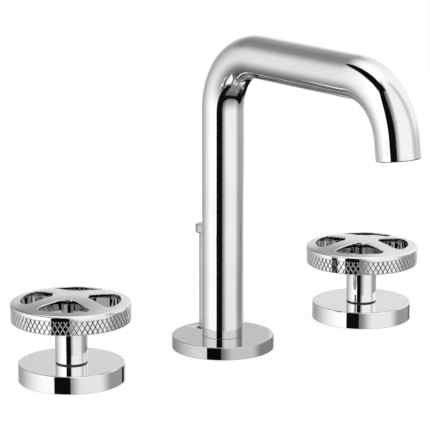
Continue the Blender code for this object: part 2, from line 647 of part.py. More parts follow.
def make_stem(prefix, parent):
    """The stem with its flange and tongue, and the ceramic disc that the tongue turns."""
    top = ADAPTER_TOP - ADAPTER_ROOF - FIT_GAP
    flange_foot, flange_top = STEM_FLANGE_FOOT, STEM_FLANGE_FOOT + STEM_FLANGE_H
    profile = [(0, top), (STEM_R, top), (STEM_R, flange_top), (MOVING_DISC_R, flange_top)]
    profile += [(MOVING_DISC_R, flange_foot), (0, flange_foot)]
    stem = turned(prefix + "_stem", profile, BRASS, at(), parent)
    tongue_size = (TONGUE_L, TONGUE_W, 2 * TONGUE_H)
    tongue = make_cutter(prefix + "_tongue", block(tongue_size, (0, 0, flange_foot)), at(), parent)
    shape_with(stem, tongue, "UNION")
    foot, face = MOVING_DISC_FOOT, MOVING_DISC_FOOT + DISC_T
    disc = turned(prefix + "_moving_disc", rod_profile(MOVING_DISC_R, foot, face), CERAMIC, at(), parent)
    slot_size = (TONGUE_L + 2 * FIT_GAP, TONGUE_W + 2 * FIT_GAP, 2 * TONGUE_H)
    slot = make_cutter(prefix + "_slot", block(slot_size, (0, 0, face)), at(), parent)
    shape_with(disc, slot, "DIFFERENCE")
    channel_size = (2 * PORT_R, 2 * PORT_OFFSET + PORT_R, 2 * CHANNEL_T)
    channel = make_cutter(prefix + "_channel", block(channel_size, (0, 0, foot)), at(), parent)
    shape_with(disc, channel, "DIFFERENCE")


def make_cartridge(prefix, parent):
    """The cartridge's still pieces: housing, fixed disc, O-ring, bonnet nut and seat seal."""
    room_top = STEM_FLANGE_FOOT + STEM_FLANGE_H + RUN_GAP
    groove = CARTRIDGE_SHOULDER - (CARTRIDGE_SHOULDER - CARTRIDGE_FOOT) * O_RING_DOWN_SHARE
    groove_r, half = CARTRIDGE_R - O_RING_T, O_RING_T / 2
    low, high = groove - half - FIT_GAP, groove + half + FIT_GAP
    profile = [(CARTRIDGE_BORE_R, CARTRIDGE_TOP), (CARTRIDGE_NECK_R, CARTRIDGE_TOP)]
    profile += [(CARTRIDGE_NECK_R, CARTRIDGE_SHOULDER), (CARTRIDGE_R, CARTRIDGE_SHOULDER)]
    profile += [(CARTRIDGE_R, high), (groove_r, high), (groove_r, low), (CARTRIDGE_R, low)]
    profile += [(CARTRIDGE_R, CARTRIDGE_FOOT), (CARTRIDGE_ROOM_R, CARTRIDGE_FOOT)]
    profile += [(CARTRIDGE_ROOM_R, room_top), (CARTRIDGE_BORE_R, room_top)]
    turned(prefix + "_cartridge_housing", profile, WHITE_PLASTIC, at(), parent)
    o_ring = tube_profile(CARTRIDGE_R, groove_r + FIT_GAP, groove - half, groove + half)
    turned(prefix + "_cartridge_o_ring", o_ring, RUBBER, at(), parent)
    disc_top = FIXED_DISC_FOOT + DISC_T
    disc_profile = rod_profile(FIXED_DISC_R, FIXED_DISC_FOOT, disc_top)
    disc = turned(prefix + "_fixed_disc", disc_profile, CERAMIC, at(), parent)
    seal = turned(prefix + "_seat_seal", rod_profile(FIXED_DISC_R, SEAL_FOOT, SEAL_TOP), RUBBER, at(), parent)
    for side in (-1, 1):
        port = at(x=side * PORT_OFFSET)
        for piece in (disc, seal):
            cut_hole(piece, PORT_R, SEAL_FOOT - OVERRUN, disc_top + OVERRUN, port, parent=parent)
    bonnet = tube_profile(BONNET_R, CARTRIDGE_NECK_R + FIT_GAP, BONNET_FOOT, BODY_TOP)
    turned(prefix + "_bonnet_nut", bonnet, BRASS, at(), parent)


def make_valve_body(prefix, parent, side):
    """The brass body: threaded barrel, block, inlet and outlet nipples, and their waterways."""
    bore_r, bonnet_r = CARTRIDGE_R + FIT_GAP, BONNET_R + FIT_GAP
    seat, block_foot = SEAL_FOOT - FIT_GAP, BODY_BLOCK_TOP - BODY_BLOCK_H
    inlet_foot = block_foot - INLET_ARM
    profile = [(bonnet_r, BODY_TOP), (BODY_R, BODY_TOP), (BODY_R, BODY_BLOCK_TOP)]
    profile += [(BODY_BLOCK_R, BODY_BLOCK_TOP), (BODY_BLOCK_R, block_foot), (NIPPLE_R, block_foot)]
    profile += [(NIPPLE_R, inlet_foot), (0, inlet_foot), (0, seat), (bore_r, seat)]
    profile += [(bore_r, CARTRIDGE_SHOULDER), (bonnet_r, CARTRIDGE_SHOULDER)]
    body = turned(prefix + "_valve_body", profile, BRASS, at(), parent)
    outlet_z, reach = BODY_BLOCK_TOP - NIPPLE_R - FIT_GAP, BODY_BLOCK_R + OUTLET_ARM
    outlet = along_x(z=outlet_z, side=side)
    join_rod(body, NIPPLE_R, 0, reach, outlet, parent)
    cut_hole(body, NIPPLE_BORE_R, PORT_OFFSET - PORT_R / 2, reach + OVERRUN, outlet, parent=parent)
    near, near_foot = at(x=side * PORT_OFFSET), outlet_z - NIPPLE_BORE_R / 2
    far, far_foot = at(x=-side * PORT_OFFSET), block_foot + PORT_R
    cut_hole(body, PORT_R, near_foot, seat + OVERRUN, near, parent=parent)
    cut_hole(body, PORT_R, far_foot, seat + OVERRUN, far, parent=parent)
    cut_hole(body, NIPPLE_BORE_R, inlet_foot - OVERRUN, far_foot + PORT_R, at(), parent=parent)


def make_handle_base(prefix, parent, side):
    """What stays still under one handle: ring, escutcheon, gasket, body, cartridge and clamp."""
    ring = tube_profile(RING_R, RING_BORE_R, RING_FOOT + FIT_GAP, RING_TOP)
    turned(prefix + "_glide_ring", ring, PLASTIC, at(), parent, SHOWN_SIDES)
    height, roof = HANDLE_ESCUTCHEON_H, BODY_TOP + FIT_GAP
    profile = escutcheon_profile(height, NECK_R, BODY_HOLE_R + BOSS_WALL, BODY_HOLE_R, roof, FIT_GAP)
    profile += [(RING_BORE_R, roof), (RING_BORE_R, RING_FOOT), (NECK_R, RING_FOOT)]
    turned(prefix + "_escutcheon", profile, CHROME, at(), parent, SHOWN_SIDES)
    gasket(prefix + "_gasket", height, parent)
    make_valve_body(prefix, parent, side)
    make_cartridge(prefix, parent)
    clamp_stack(prefix, BODY_R, HANDLE_NUT_WALL, parent)


clear_scene()
make_spout_tube()
make_spout_fixing()
make_inlet_tee()
make_aerator()
make_lift_rod()
for handle, towards_spout in (("hot", 1), ("cold", -1)):
    axis = arm(-towards_spout * HANDLE_SPACING, handle + "_axis")
    make_handle(handle, axis)
    make_handle_base(handle, axis, towards_spout)
bpy.context.view_layer.update()
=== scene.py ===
import json
import math

import bmesh
import bpy
import numpy as np
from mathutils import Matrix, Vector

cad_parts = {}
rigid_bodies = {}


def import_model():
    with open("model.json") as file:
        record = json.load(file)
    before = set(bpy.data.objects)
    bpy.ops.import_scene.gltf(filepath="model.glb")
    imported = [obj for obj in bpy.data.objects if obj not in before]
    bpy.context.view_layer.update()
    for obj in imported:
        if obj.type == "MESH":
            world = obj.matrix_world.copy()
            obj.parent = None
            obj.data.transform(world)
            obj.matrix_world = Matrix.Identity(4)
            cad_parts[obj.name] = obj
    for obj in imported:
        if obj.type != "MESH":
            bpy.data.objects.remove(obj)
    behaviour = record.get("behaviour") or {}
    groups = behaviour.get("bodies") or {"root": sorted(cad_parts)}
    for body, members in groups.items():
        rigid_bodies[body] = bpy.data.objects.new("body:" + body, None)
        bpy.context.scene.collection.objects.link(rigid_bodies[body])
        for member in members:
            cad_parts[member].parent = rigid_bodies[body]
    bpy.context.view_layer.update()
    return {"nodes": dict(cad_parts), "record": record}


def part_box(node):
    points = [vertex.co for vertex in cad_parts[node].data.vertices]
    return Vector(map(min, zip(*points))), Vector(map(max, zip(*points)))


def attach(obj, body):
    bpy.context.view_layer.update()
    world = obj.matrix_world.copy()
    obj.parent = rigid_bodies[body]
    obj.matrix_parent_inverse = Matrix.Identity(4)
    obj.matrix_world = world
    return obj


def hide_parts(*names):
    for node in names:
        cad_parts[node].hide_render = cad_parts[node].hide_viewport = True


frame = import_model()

# Spout tube. One brass tube, bent twice on a mandrel and chrome plated, with its lip rounded at
# the mouth. It stands on the spout's escutcheon, over the shank's ferrule.
MM = 0.001
MERGE = 0.001 * MM  # seams and poles nearer than this are closed
BROKEN = 0.2 * MM  # radius of an edge that is only broken
SHARP = math.radians(25)  # a sharper edge than this stays crisp
TURN = 2 * math.pi
CHROME_TONES = (0.885, 0.89, 0.895), (0.915, 0.92, 0.925)


class Value:
    """A number that varies over a surface. Arithmetic on it adds Math nodes to its graph."""

    def __init__(self, graph, socket):
        self.graph, self.socket = graph, socket

    def __getitem__(self, output):
        """Another output of the same node."""
        return Value(self.graph, self.socket.node.outputs[output])

    def math(self, operation, other=0.0):
        return self.graph.node("Math", {"Value": self, "Value_001": other}, {"operation": operation})

    def __add__(self, other):
        return self.math("ADD", other)

    __radd__ = __add__

    def __sub__(self, other):
        return self.math("SUBTRACT", other)

    def __rsub__(self, other):
        return self * -1 + other

    def __mul__(self, other):
        return self.math("MULTIPLY", other)

    __rmul__ = __mul__

    def __truediv__(self, other):
        return self.math("DIVIDE", other)

    def between(self, low, high):
        """A soft step: 0 below low, 1 above high, or the other way round where low is the larger."""
        limits = {"Value": self, "From Min": low, "From Max": high}
        return self.graph.node("MapRange", limits, {"interpolation_type": "SMOOTHSTEP"})

    def band(self, low, in_at, out_at, high):
        """A soft band: 0 up to low, 1 from in_at to out_at, and 0 from high on."""
        return self.between(low, in_at) * self.between(high, out_at)


class Graph:
    """The nodes of one material, or of the world."""

    def __init__(self, owner):
        owner.use_nodes = True
        self.owner, self.tree = owner, owner.node_tree
        self.tree.nodes.clear()

    def node(self, kind, inputs=None, settings=None, output=0):
        """Adds a node of a type. Its settings are set first, then its sockets' values or links."""
        made = self.tree.nodes.new("ShaderNode" + kind)
        for name, value in (settings or {}).items():
            if name == "stops":
                self.fill(made.color_ramp.elements, value)
            else:
                setattr(made, name, value)
        sockets = {socket.identifier: socket for socket in made.inputs}
        for name, value in (inputs or {}).items():
            if isinstance(value, Value):
                self.tree.links.new(value.socket, sockets[name])
            else:
                sockets[name].default_value = value
        return Value(self, made.outputs[output] if made.outputs else None)

    def fill(self, elements, stops):
        """Sets a ramp's stops, given as place: grey."""
        while len(elements) > 1:
            elements.remove(elements[0])
        for i, (place, shade) in enumerate(stops.items()):
            stop = elements[0] if i == 0 else elements.new(place)
            stop.position = place
            stop.color = (shade, shade, shade, 1)

    def blend(self, share, first, second):
        """A colour between two colours."""
        inputs = {"Factor_Float": share, "A_Color": first, "B_Color": second}
        return self.node("Mix", inputs, {"data_type": "RGBA"}, output=2)

    def noise(self, place, size, detail=2.0):
        """Noise whose features are about size metres across."""
        return self.node("TexNoise", {"Vector": place, "Scale": 1 / size, "Detail": detail})

    def bump(self, height, depth, strength):
        """A normal from a height, which counts depth metres from 0 to 1."""
        return self.node("Bump", {"Height": height, "Distance": depth, "Strength": strength})

    def surface(self, **shader):
        """Ends the graph in one Principled shader, and gives back the finished material."""
        inputs = {name.replace("_", " "): value for name, value in shader.items()}
        self.node("OutputMaterial", {"Surface": self.node("BsdfPrincipled", inputs)})
        return self.owner


def begun(name):
    """A new material's graph, and the place on the object that it varies with."""
    graph = Graph(bpy.data.materials.new(name))
    return graph, graph.node("TexCoord", output="Object")


def chrome_plate(name, painted_shade_scale=1.0, painted_shade=()):
    """Bright chrome: nearly a mirror, with faint wiping marks. The second argument scales its colours;
    below 1 it is painted shade over the whole plate. The third lists where shade is painted into the
    colour: a share from a place, the painted grey it has there and what it adds to the roughness."""
    graph, place = begun(name)
    broad = graph.noise(place, 30 * MM).between(0.35, 0.65)
    dark, light = [tuple(painted_shade_scale * part for part in tone) + (1,) for tone in CHROME_TONES]
    colour = graph.blend(broad, dark, light)
    gloss = 0.022 + 0.02 * graph.noise(place, 4 * MM, 5.0).between(0.5, 0.8)
    # painted shade: each share darkens the colour towards its grey
    for share_at, shade, matt in painted_shade:
        share = share_at(graph.node("SeparateXYZ", {"Vector": place}))
        colour = graph.blend(share, colour, (shade, shade, shade, 1))
        gloss = gloss + matt * share
    return graph.surface(Base_Color=colour, Metallic=1.0, Roughness=gloss)


def rounded(corners, steps=6):
    """A closed outline through (radius, length, rounding) corners. Each rounded corner is an arc
    tangent to both its sides, with one more point just past each end to hold the sides straight."""
    points = np.array([corner[:2] for corner in corners], dtype=float)
    outline = []
    for i, (_, _, rounding) in enumerate(corners):
        corner, before, after = points[i], points[i - 1], points[(i + 1) % len(corners)]
        if not rounding:
            outline.append(corner[None])
            continue
        back, on = before - corner, after - corner
        room = min(np.linalg.norm(back), np.linalg.norm(on))
        back, on = back / np.linalg.norm(back), on / np.linalg.norm(on)
        half = math.acos(np.clip(back @ on, -1, 1)) / 2
        reach = min(rounding / math.tan(half), 0.45 * room)
        radius = reach * math.tan(half)
        middle = corner + (back + on) / np.linalg.norm(back + on) * radius / math.sin(half)
        start, end = corner + back * reach - middle, corner + on * reach - middle
        angle = math.pi - 2 * half
        share = np.linspace(0, 1, steps + 1)[:, None]
        arc = (np.sin((1 - share) * angle) * start + np.sin(share * angle) * end) / math.sin(angle)
        hold = 0.15 * reach
        outline += [(middle + start + back * hold)[None], middle + arc, (middle + end + on * hold)[None]]
    return np.concatenate(outline)


def closed(outline):
    """An outline that ends where it starts."""
    return np.vstack((outline, outline[:1]))


def stretched(outline, step):
    """A closed outline with more points, at most a step apart."""
    pieces = []
    for start, end in zip(outline[:-1], outline[1:]):
        count = max(1, math.ceil(np.linalg.norm(end - start) / step))
        pieces.append(start + (end - start) * np.arange(count)[:, None] / count)
    return np.concatenate(pieces + [outline[-1:]])


def carried(radii, centres, side, up, sides):
    """A grid of points, ring by ring: centre + radius * (cos t * side + sin t * up), t once round.
    The radii are one for each ring, or one for each point of each ring."""
    t = np.linspace(0, TURN, sides + 1)[None, :, None]
    radii = np.asarray(radii).reshape(len(centres), -1, 1)
    arms = np.cos(t) * np.asarray(side) + np.sin(t) * np.asarray(up).reshape(-1, 1, 3)
    return centres[:, None, :] + radii * arms


def net(grid):
    """Points and quads over a grid of points, (rows, columns, xyz)."""
    rows, columns = grid.shape[:2]
    index = np.arange(rows * columns).reshape(rows, columns)
    quads = np.stack((index[:-1, :-1], index[1:, :-1], index[1:, 1:], index[:-1, 1:]), -1)
    return grid.reshape(-1, 3), quads.reshape(-1, 4)


def closed_mesh(name, points, faces):
    """A mesh with its seams and poles merged and its faces turned outwards."""
    mesh = bpy.data.meshes.new(name)
    mesh.from_pydata(points, [], faces)
    builder = bmesh.new()
    builder.from_mesh(mesh)
    bmesh.ops.remove_doubles(builder, verts=builder.verts, dist=MERGE)
    bmesh.ops.recalc_face_normals(builder, faces=builder.faces)
    builder.to_mesh(mesh)
    builder.free()
    return mesh


def placed(name, data):
    """A new object in the scene, at the origin."""
    made = bpy.data.objects.new(name, data)
    bpy.context.scene.collection.objects.link(made)
    return made


def piece(node, skins, material):
    """One finished piece, from skins of points and faces, in place of its plain CAD node."""
    points, faces, first = [], [], 0
    for skin_points, skin_faces in skins:
        points.append(skin_points)
        faces += (skin_faces + first).tolist()
        first += len(skin_points)
    mesh = closed_mesh(node + "_finished", np.concatenate(points), faces)
    mesh.shade_smooth()
    mesh.set_sharp_from_angle(angle=SHARP)
    mesh.materials.append(material)
    made = placed(mesh.name, mesh)
    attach(made, body_of[node])
    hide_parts(node)
    return made


body_of = {node: body for body, nodes in frame["record"]["behaviour"]["bodies"].items() for node in nodes}
CHROME = chrome_plate("bright_chrome")
EAST = np.array((1.0, 0.0, 0.0))

low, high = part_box("spout_tube")
TUBE_R = (high.x - low.x) / 2
TUBE_WALL = 1.5 * MM
TUBE_LIP = 0.65 * MM
TUBE_STEP = 1.6 * MM  # from ring to ring of the mesh
TUBE_SIDES = 112
SEAT_GAP = 0.04 * MM  # what shows between two pieces that are seated on each other
BEND_R = 31.6 * MM
RUN = 76.6 * MM
TIP_BEND = math.radians(82)
TIP = 10.4 * MM
TUBE_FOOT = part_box("spout_escutcheon")[1].z + SEAT_GAP
RISER = high.z - TUBE_R - BEND_R - TUBE_FOOT
BEND_LENGTHS = (BEND_R * math.pi / 2, BEND_R * TIP_BEND)
TUBE_LENGTH = RISER + RUN + TIP + sum(BEND_LENGTHS)


def tube_path(along):
    """Centre points and outward directions at lengths along the tube. The heading turns by a quarter
    in the first bend and by the tip's angle in the second, and stays as it is elsewhere. Past an
    end the path goes on straight."""
    second = RISER + BEND_LENGTHS[0] + RUN
    first_turn = np.clip((along - RISER) / BEND_R, 0, math.pi / 2)
    second_turn = np.clip((along - second) / BEND_R, 0, TIP_BEND)
    riser = np.minimum(along, RISER)
    level = np.clip(along - RISER - BEND_LENGTHS[0], 0, RUN)
    tip = np.maximum(along - second - BEND_LENGTHS[1], 0)
    turned = math.pi / 2 + second_turn
    forth = BEND_R * (1 - np.cos(first_turn)) + level + BEND_R * np.sin(second_turn)
    forth += tip * math.sin(math.pi / 2 + TIP_BEND)
    rise = TUBE_FOOT + riser + BEND_R * np.sin(first_turn) - BEND_R * (1 - np.cos(second_turn))
    rise += tip * math.cos(math.pi / 2 + TIP_BEND)
    heading = np.where(along < second, first_turn, turned)
    centres = np.stack((0 * along, -forth, rise), -1)
    outward = np.stack((0 * along, np.cos(heading), np.sin(heading)), -1)
    return centres, outward


bore_r = TUBE_R - TUBE_WALL
tube = stretched(closed(rounded([
    (TUBE_R, 0, BROKEN), (TUBE_R, TUBE_LENGTH, TUBE_LIP),
    (bore_r, TUBE_LENGTH, TUBE_LIP), (bore_r, 0, BROKEN)])), TUBE_STEP)


def along_tube(radii, along, sides):
    """A skin round the tube's middle line, from radii at lengths along it."""
    centres, outward = tube_path(along)
    return net(carried(radii, centres, EAST, outward, sides))


piece("spout_tube", [along_tube(tube[:, 0], tube[:, 1], TUBE_SIDES)], CHROME)

# Aerator. A black plastic housing pressed into the spout's mouth against a rubber washer, with
# four notches for the fitting key. A steel screen snaps in behind its lip.


def moulded_plastic(name, dark, light, gloss):
    """Moulded plastic with a fine spark-eroded grain and a faint unevenness of tone."""
    graph, place = begun(name)
    tone = graph.noise(place, 5 * MM)
    grain = graph.noise(place, 0.12 * MM, 1.0)
    return graph.surface(
        Base_Color=graph.blend(tone, dark, light),
        Roughness=gloss + 0.12 * tone,
        Normal=graph.bump(grain, 0.01 * MM, 0.35))


def moulded_rubber():
    """Black rubber: dull, slightly dusty, with a fine pitted skin."""
    graph, place = begun("black_rubber")
    dust = graph.noise(place, 3 * MM, 6.0).between(0.45, 0.75)
    pits = graph.noise(place, 0.25 * MM, 3.0)
    return graph.surface(
        Base_Color=graph.blend(dust, (0.022, 0.022, 0.023, 1), (0.055, 0.053, 0.05, 1)),
        Roughness=0.62 + 0.2 * dust,
        Normal=graph.bump(pits, 0.03 * MM, 0.5))


def zinc_plate():
    """Zinc plated steel: pale grey crystals of slightly unlike tone, under a thin haze."""
    graph, place = begun("zinc_plated_steel")
    crystal = graph.node("TexVoronoi", {"Vector": place, "Scale": 1 / (0.9 * MM)}, output="Color")
    shade = graph.node("SeparateColor", {"Color": crystal})
    haze = graph.noise(place, 6 * MM, 4.0)
    return graph.surface(
        Base_Color=graph.blend(shade * 0.5 + haze * 0.5, (0.52, 0.54, 0.57, 1), (0.72, 0.72, 0.7, 1)),
        Metallic=1.0,
        Roughness=0.24 + 0.12 * shade + 0.1 * haze,
        Normal=graph.bump(shade, 0.01 * MM, 0.3))


def carry_over(node, material):
    """A CAD node whose shape is right stays, and takes a finer material."""
    kept = frame["nodes"][node]
    kept.data.materials.clear()
    kept.data.materials.append(material)


def collar(outer_r, bore_r, foot, top, roundings):
    """A ring's outline, from its outer top corner down, in and up, with each corner's rounding in
    millimetres."""
    corners = (outer_r, top), (outer_r, foot), (bore_r, foot), (bore_r, top)
    return rounded([corner + (rounding * MM,) for corner, rounding in zip(corners, roundings)])


BLACK_PLASTIC = moulded_plastic("black_plastic", (0.012, 0.012, 0.013, 1), (0.03, 0.03, 0.031, 1), 0.32)
RUBBER = moulded_rubber()
STEEL = zinc_plate()
AERATOR_GAP = 0.1 * MM
AERATOR_RECESS = 1.2 * MM
AERATOR_LENGTH = 7.4 * MM
AERATOR_WALL = 1.3 * MM
AERATOR_LIP = 1.2 * MM
AERATOR_SIDES = 96
WASHER_FACES = 1.7 * MM, 0.1 * MM  # behind the housing's back
KEY_NOTCHES = 4
KEY_NOTCH_DEPTH = 0.7 * MM
KEY_NOTCH_SHARE = 0.2  # of the way round each notch's quarter

housing_r = bore_r - AERATOR_GAP
housing_in_r = housing_r - AERATOR_WALL - AERATOR_GAP
lip_r = housing_in_r - AERATOR_LIP
face, back = TUBE_LENGTH - AERATOR_RECESS, TUBE_LENGTH - AERATOR_RECESS - AERATOR_LENGTH
housing = closed(rounded([
    (housing_r, back, BROKEN), (housing_r, face, 0.3 * MM), (lip_r, face, 0.25 * MM),
    (lip_r, face - AERATOR_LIP, BROKEN), (housing_in_r, face - AERATOR_LIP, 0),
    (housing_in_r, back, 0.1 * MM)]))
housing_radii = np.repeat(housing[:, :1], AERATOR_SIDES + 1, axis=1)
quarter_share = np.linspace(0, KEY_NOTCHES, AERATOR_SIDES + 1) % 1
in_notch = np.abs(quarter_share - 0.5) < KEY_NOTCH_SHARE / 2
at_lip = housing[:, 0] < lip_r + 0.3 * MM
housing_radii[np.ix_(at_lip, in_notch)] += KEY_NOTCH_DEPTH
piece("aerator_housing", [along_tube(housing_radii, housing[:, 1], AERATOR_SIDES)], BLACK_PLASTIC)

washer = closed(collar(housing_r, lip_r, back - WASHER_FACES[0], back - WASHER_FACES[1], (0.3,) * 4))
piece("aerator_washer", [along_tube(washer[:, 0], washer[:, 1], AERATOR_SIDES)], RUBBER)
carry_over("aerator_screen", STEEL)

# Spout escutcheon. Turned from brass and chrome plated: a plate with a skirt that stands on the
# deck, a boss under the tube, and a hole behind it for the lift rod's bush. A ring of foam
# rubber inside the skirt seals it to the deck.


def lathe(outline, x=0.0, y=0.0, sides=128, radii=None):
    """A turned surface: the outline, closed unless it starts on the axis, once round a vertical
    axis at x, y. The radii may be given point by point instead, for flats and threads."""
    if outline[0, 0] > 0:
        outline = closed(outline)
    centres = np.stack((outline[:, 0] * 0 + x, outline[:, 0] * 0 + y, outline[:, 1]), -1)
    return net(carried(outline[:, 0] if radii is None else radii, centres, EAST, (0, 1, 0), sides))


def axis_of(node):
    """Centre x and y, radius, foot and top of a turned node."""
    low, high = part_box(node)
    return (low.x + high.x) / 2, (low.y + high.y) / 2, (high.x - low.x) / 2, low.z, high.z


def drilled(made, name, skin):
    """Cuts a hole in a finished piece with a hidden cutter of the hole's shape."""
    cutter = placed(name, closed_mesh(name, skin[0], skin[1].tolist()))
    cutter.hide_render = cutter.hide_viewport = True
    cutter.parent = made.parent
    made.modifiers.new(name, "BOOLEAN").object = cutter


def plug(radius, low, high):
    """The outline of a plain round cutter."""
    return np.array(((0, high), (radius, high), (radius, low), (0, low)))


def ring(node, material, roundings, bore_r=None, wall=None):
    """A turned ring as wide and as high as its CAD node, with a bore or a wall of a given size."""
    x, _, outer_r, foot, top = axis_of(node)
    inner_r = bore_r if bore_r else outer_r - wall
    return piece(node, [lathe(collar(outer_r, inner_r, foot, top, roundings), x)], material)


ESCUTCHEON_EDGE = 0.6 * MM
ESCUTCHEON_SKIRT = 3.0 * MM
ESCUTCHEON_PLATE = 2.8 * MM
FINE_ARC = 8  # steps in each rounding where it shows most
ESCUTCHEON_SIDES = 192
BOSS_R = 10.0 * MM
SHANK_HOLE_R = 7.3 * MM
ROD_HOLE_R = 3.9 * MM
BUSH_SEAT_R = 5.3 * MM
BUSH_SEAT = 4.8 * MM
CUTTER_LOW, CUTTER_HIGH = -5 * MM, 20 * MM

_, _, plate_r, _, plate_top = axis_of("spout_escutcheon")
_, rod_y, rod_r, rod_foot, rod_top = axis_of("lift_rod")
skirt_r, plate_under = plate_r - ESCUTCHEON_SKIRT, plate_top - ESCUTCHEON_PLATE
# The spout's plate takes a copy of the chrome painted darker (0.69): painted shade, where the handles'
# plates have the plain chrome.
escutcheon = piece("spout_escutcheon", [lathe(rounded([
    (SHANK_HOLE_R, plate_top, BROKEN), (plate_r, plate_top, ESCUTCHEON_EDGE), (plate_r, 0, 0.15 * MM),
    (skirt_r, 0, 0.15 * MM), (skirt_r, plate_under, 0.8 * MM), (BOSS_R, plate_under, 0.8 * MM),
    (BOSS_R, 0, 0.15 * MM), (SHANK_HOLE_R, 0, 0.15 * MM)], FINE_ARC), sides=ESCUTCHEON_SIDES)],
    chrome_plate("painted_shade_chrome", 0.69))
rod_hole = np.array([
    (0, CUTTER_HIGH), (ROD_HOLE_R, CUTTER_HIGH), (ROD_HOLE_R, BUSH_SEAT), (BUSH_SEAT_R, BUSH_SEAT),
    (BUSH_SEAT_R, CUTTER_LOW), (0, CUTTER_LOW)])
drilled(escutcheon, "rod_hole_cutter", lathe(rod_hole, y=rod_y, sides=64))

GASKET_WIDTH = 3.0 * MM
GASKET_ROUNDINGS = 0.8, 0.3, 0.3, 0.8  # softer where it is squeezed
spout_gasket = ring("spout_gasket", RUBBER, GASKET_ROUNDINGS, wall=GASKET_WIDTH)
flange_room = lathe(plug(BUSH_SEAT_R, CUTTER_LOW, CUTTER_HIGH), y=rod_y, sides=64)
drilled(spout_gasket, "flange_room_cutter", flange_room)

# Shank and its clamp. A brass ferrule joins the tube to the hollow threaded shank, which goes
# through the deck. A rubber washer, a zinc plated washer and a brass nut draw it down.


def turned_brass():
    """Machined brass: fine tool marks round the axis, and a patchy warm tarnish."""
    graph, place = begun("brass")
    height = graph.node("SeparateXYZ", {"Vector": place})["Z"]
    wobble = graph.noise(place, 8 * MM)
    marks = (height / (0.32 * MM) * TURN + 3.0 * wobble).math("SINE")
    tarnish = graph.noise(place, 7 * MM, 5.0).between(0.4, 0.7)
    return graph.surface(
        Base_Color=graph.blend(tarnish, (0.82, 0.63, 0.33, 1), (0.66, 0.46, 0.21, 1)),
        Metallic=1.0,
        Roughness=0.2 + 0.16 * tarnish,
        Normal=graph.bump(marks, 0.006 * MM, 0.4))


def thread(outline, crest_r, low, high):
    """Rings for a screw thread between two heights of an outline's outer side, and the radii, point
    by point. A ring's radius dips once round, in a V with flat crests and roots, whose place is
    height / pitch - angle / turn. The thread fades out at both ends."""
    on_crest = np.abs(outline[:, 0] - crest_r) < MERGE
    split = np.flatnonzero(on_crest & (outline[:, 1] > high))[-1] + 1
    heights = np.arange(low, high, THREAD_PITCH / RINGS_A_TURN)[::-1]
    rings = np.stack((np.full(len(heights), crest_r), heights), -1)
    cut = closed(np.vstack((outline[:split], rings, outline[split:])))
    angle = np.linspace(0, 1, THREAD_SIDES + 1)[None, :]
    phase = (cut[:, 1:] / THREAD_PITCH - angle) % 1
    groove = np.clip(1.25 - 3.2 * np.abs(phase - 0.5), 0, 1)
    fade = np.clip(np.minimum(cut[:, 1] - low, high - cut[:, 1]) / THREAD_FADE, 0, 1)[:, None]
    threaded = np.abs(cut[:, :1] - crest_r) < MERGE
    return cut[:-1], cut[:, :1] - THREAD_DEPTH * groove * fade * threaded


BRASS = turned_brass()
SHANK_BORE_R = 4.5 * MM
THREAD_PITCH = 1.5 * MM
THREAD_DEPTH = 0.75 * MM
THREAD_END = 0.6 * MM  # plain length at each end
THREAD_FADE = 0.9 * MM  # length over which it fades out
THREAD_SIDES = 72
RINGS_A_TURN = 8

ring("spout_ferrule", BRASS, (0.4, 0.4, 0.2, 0.4), bore_r=SHANK_HOLE_R)
_, _, shank_r, shank_foot, shank_top = axis_of("spout_shank")
shank, shank_radii = thread(
    collar(shank_r, SHANK_BORE_R, shank_foot, shank_top, (0.5,) * 4), shank_r,
    shank_foot + THREAD_END, shank_top - THREAD_END)
piece("spout_shank", [lathe(shank, sides=THREAD_SIDES, radii=shank_radii)], BRASS)


def hexagon(flat_r, sides):
    """Radii of a hexagon once round: flat / cos(angle from the middle of the nearest flat)."""
    angle = np.linspace(0, TURN, sides + 1)[None, :]
    return flat_r / np.cos((angle + math.pi / 6) % (math.pi / 3) - math.pi / 6)


def clamp_nut(node, bore_r, flat_r):
    """The hexagon nut that draws the washers up. Its outer side follows the six flats, and a cone of
    30 degrees takes the corners off both ends."""
    x, _, _, foot, top = axis_of(node)
    outer = np.stack((np.full(NUT_STEPS, flat_r), np.linspace(top, foot, NUT_STEPS)), -1)
    wide_r = bore_r + NUT_CHAMFER
    bore = (wide_r, foot), (bore_r, foot + NUT_CHAMFER), (bore_r, top - NUT_CHAMFER), (wide_r, top)
    outline = closed(np.vstack((outer, bore)))
    end = np.minimum(outline[:, 1] - foot, top - outline[:, 1])[:, None]
    cone = flat_r + end * math.tan(math.radians(60))
    on_flats = outline[:, :1] == flat_r
    radii = np.where(on_flats, np.minimum(hexagon(flat_r, NUT_SIDES), cone), outline[:, :1])
    piece(node, [lathe(outline[:-1], x, sides=NUT_SIDES, radii=radii)], BRASS)


NUT_CHAMFER = 0.6 * MM
NUT_STEPS = 25
NUT_SIDES = 120
ROD_WASHER_HOLE_R = 2.8 * MM
SPOUT_NUT_FLAT_R = 10.5 * MM
WASHERS = (("rubber_washer", RUBBER, 0.5), ("steel_washer", STEEL, 0.3))
for name, material, rounding in WASHERS:
    washer = ring("spout_" + name, material, (rounding,) * 4, bore_r=SHANK_HOLE_R)
    _, _, _, foot, top = axis_of("spout_" + name)
    rod_room = lathe(plug(ROD_WASHER_HOLE_R, foot - MM, top + MM), y=rod_y, sides=48)
    drilled(washer, "spout_" + name + "_rod_cutter", rod_room)
clamp_nut("spout_mounting_nut", SHANK_HOLE_R, SPOUT_NUT_FLAT_R)

# Inlet tee. Machined from brass bar and screwed on the shank's foot over a rubber seal. Its two
# nipples take the hoses from the hot and the cold valve.
SEAL_WIDTH = 1.8 * MM

carry_over("inlet_tee", BRASS)
ring("inlet_tee_seal", RUBBER, (0.3,) * 4, wall=SEAL_WIDTH)

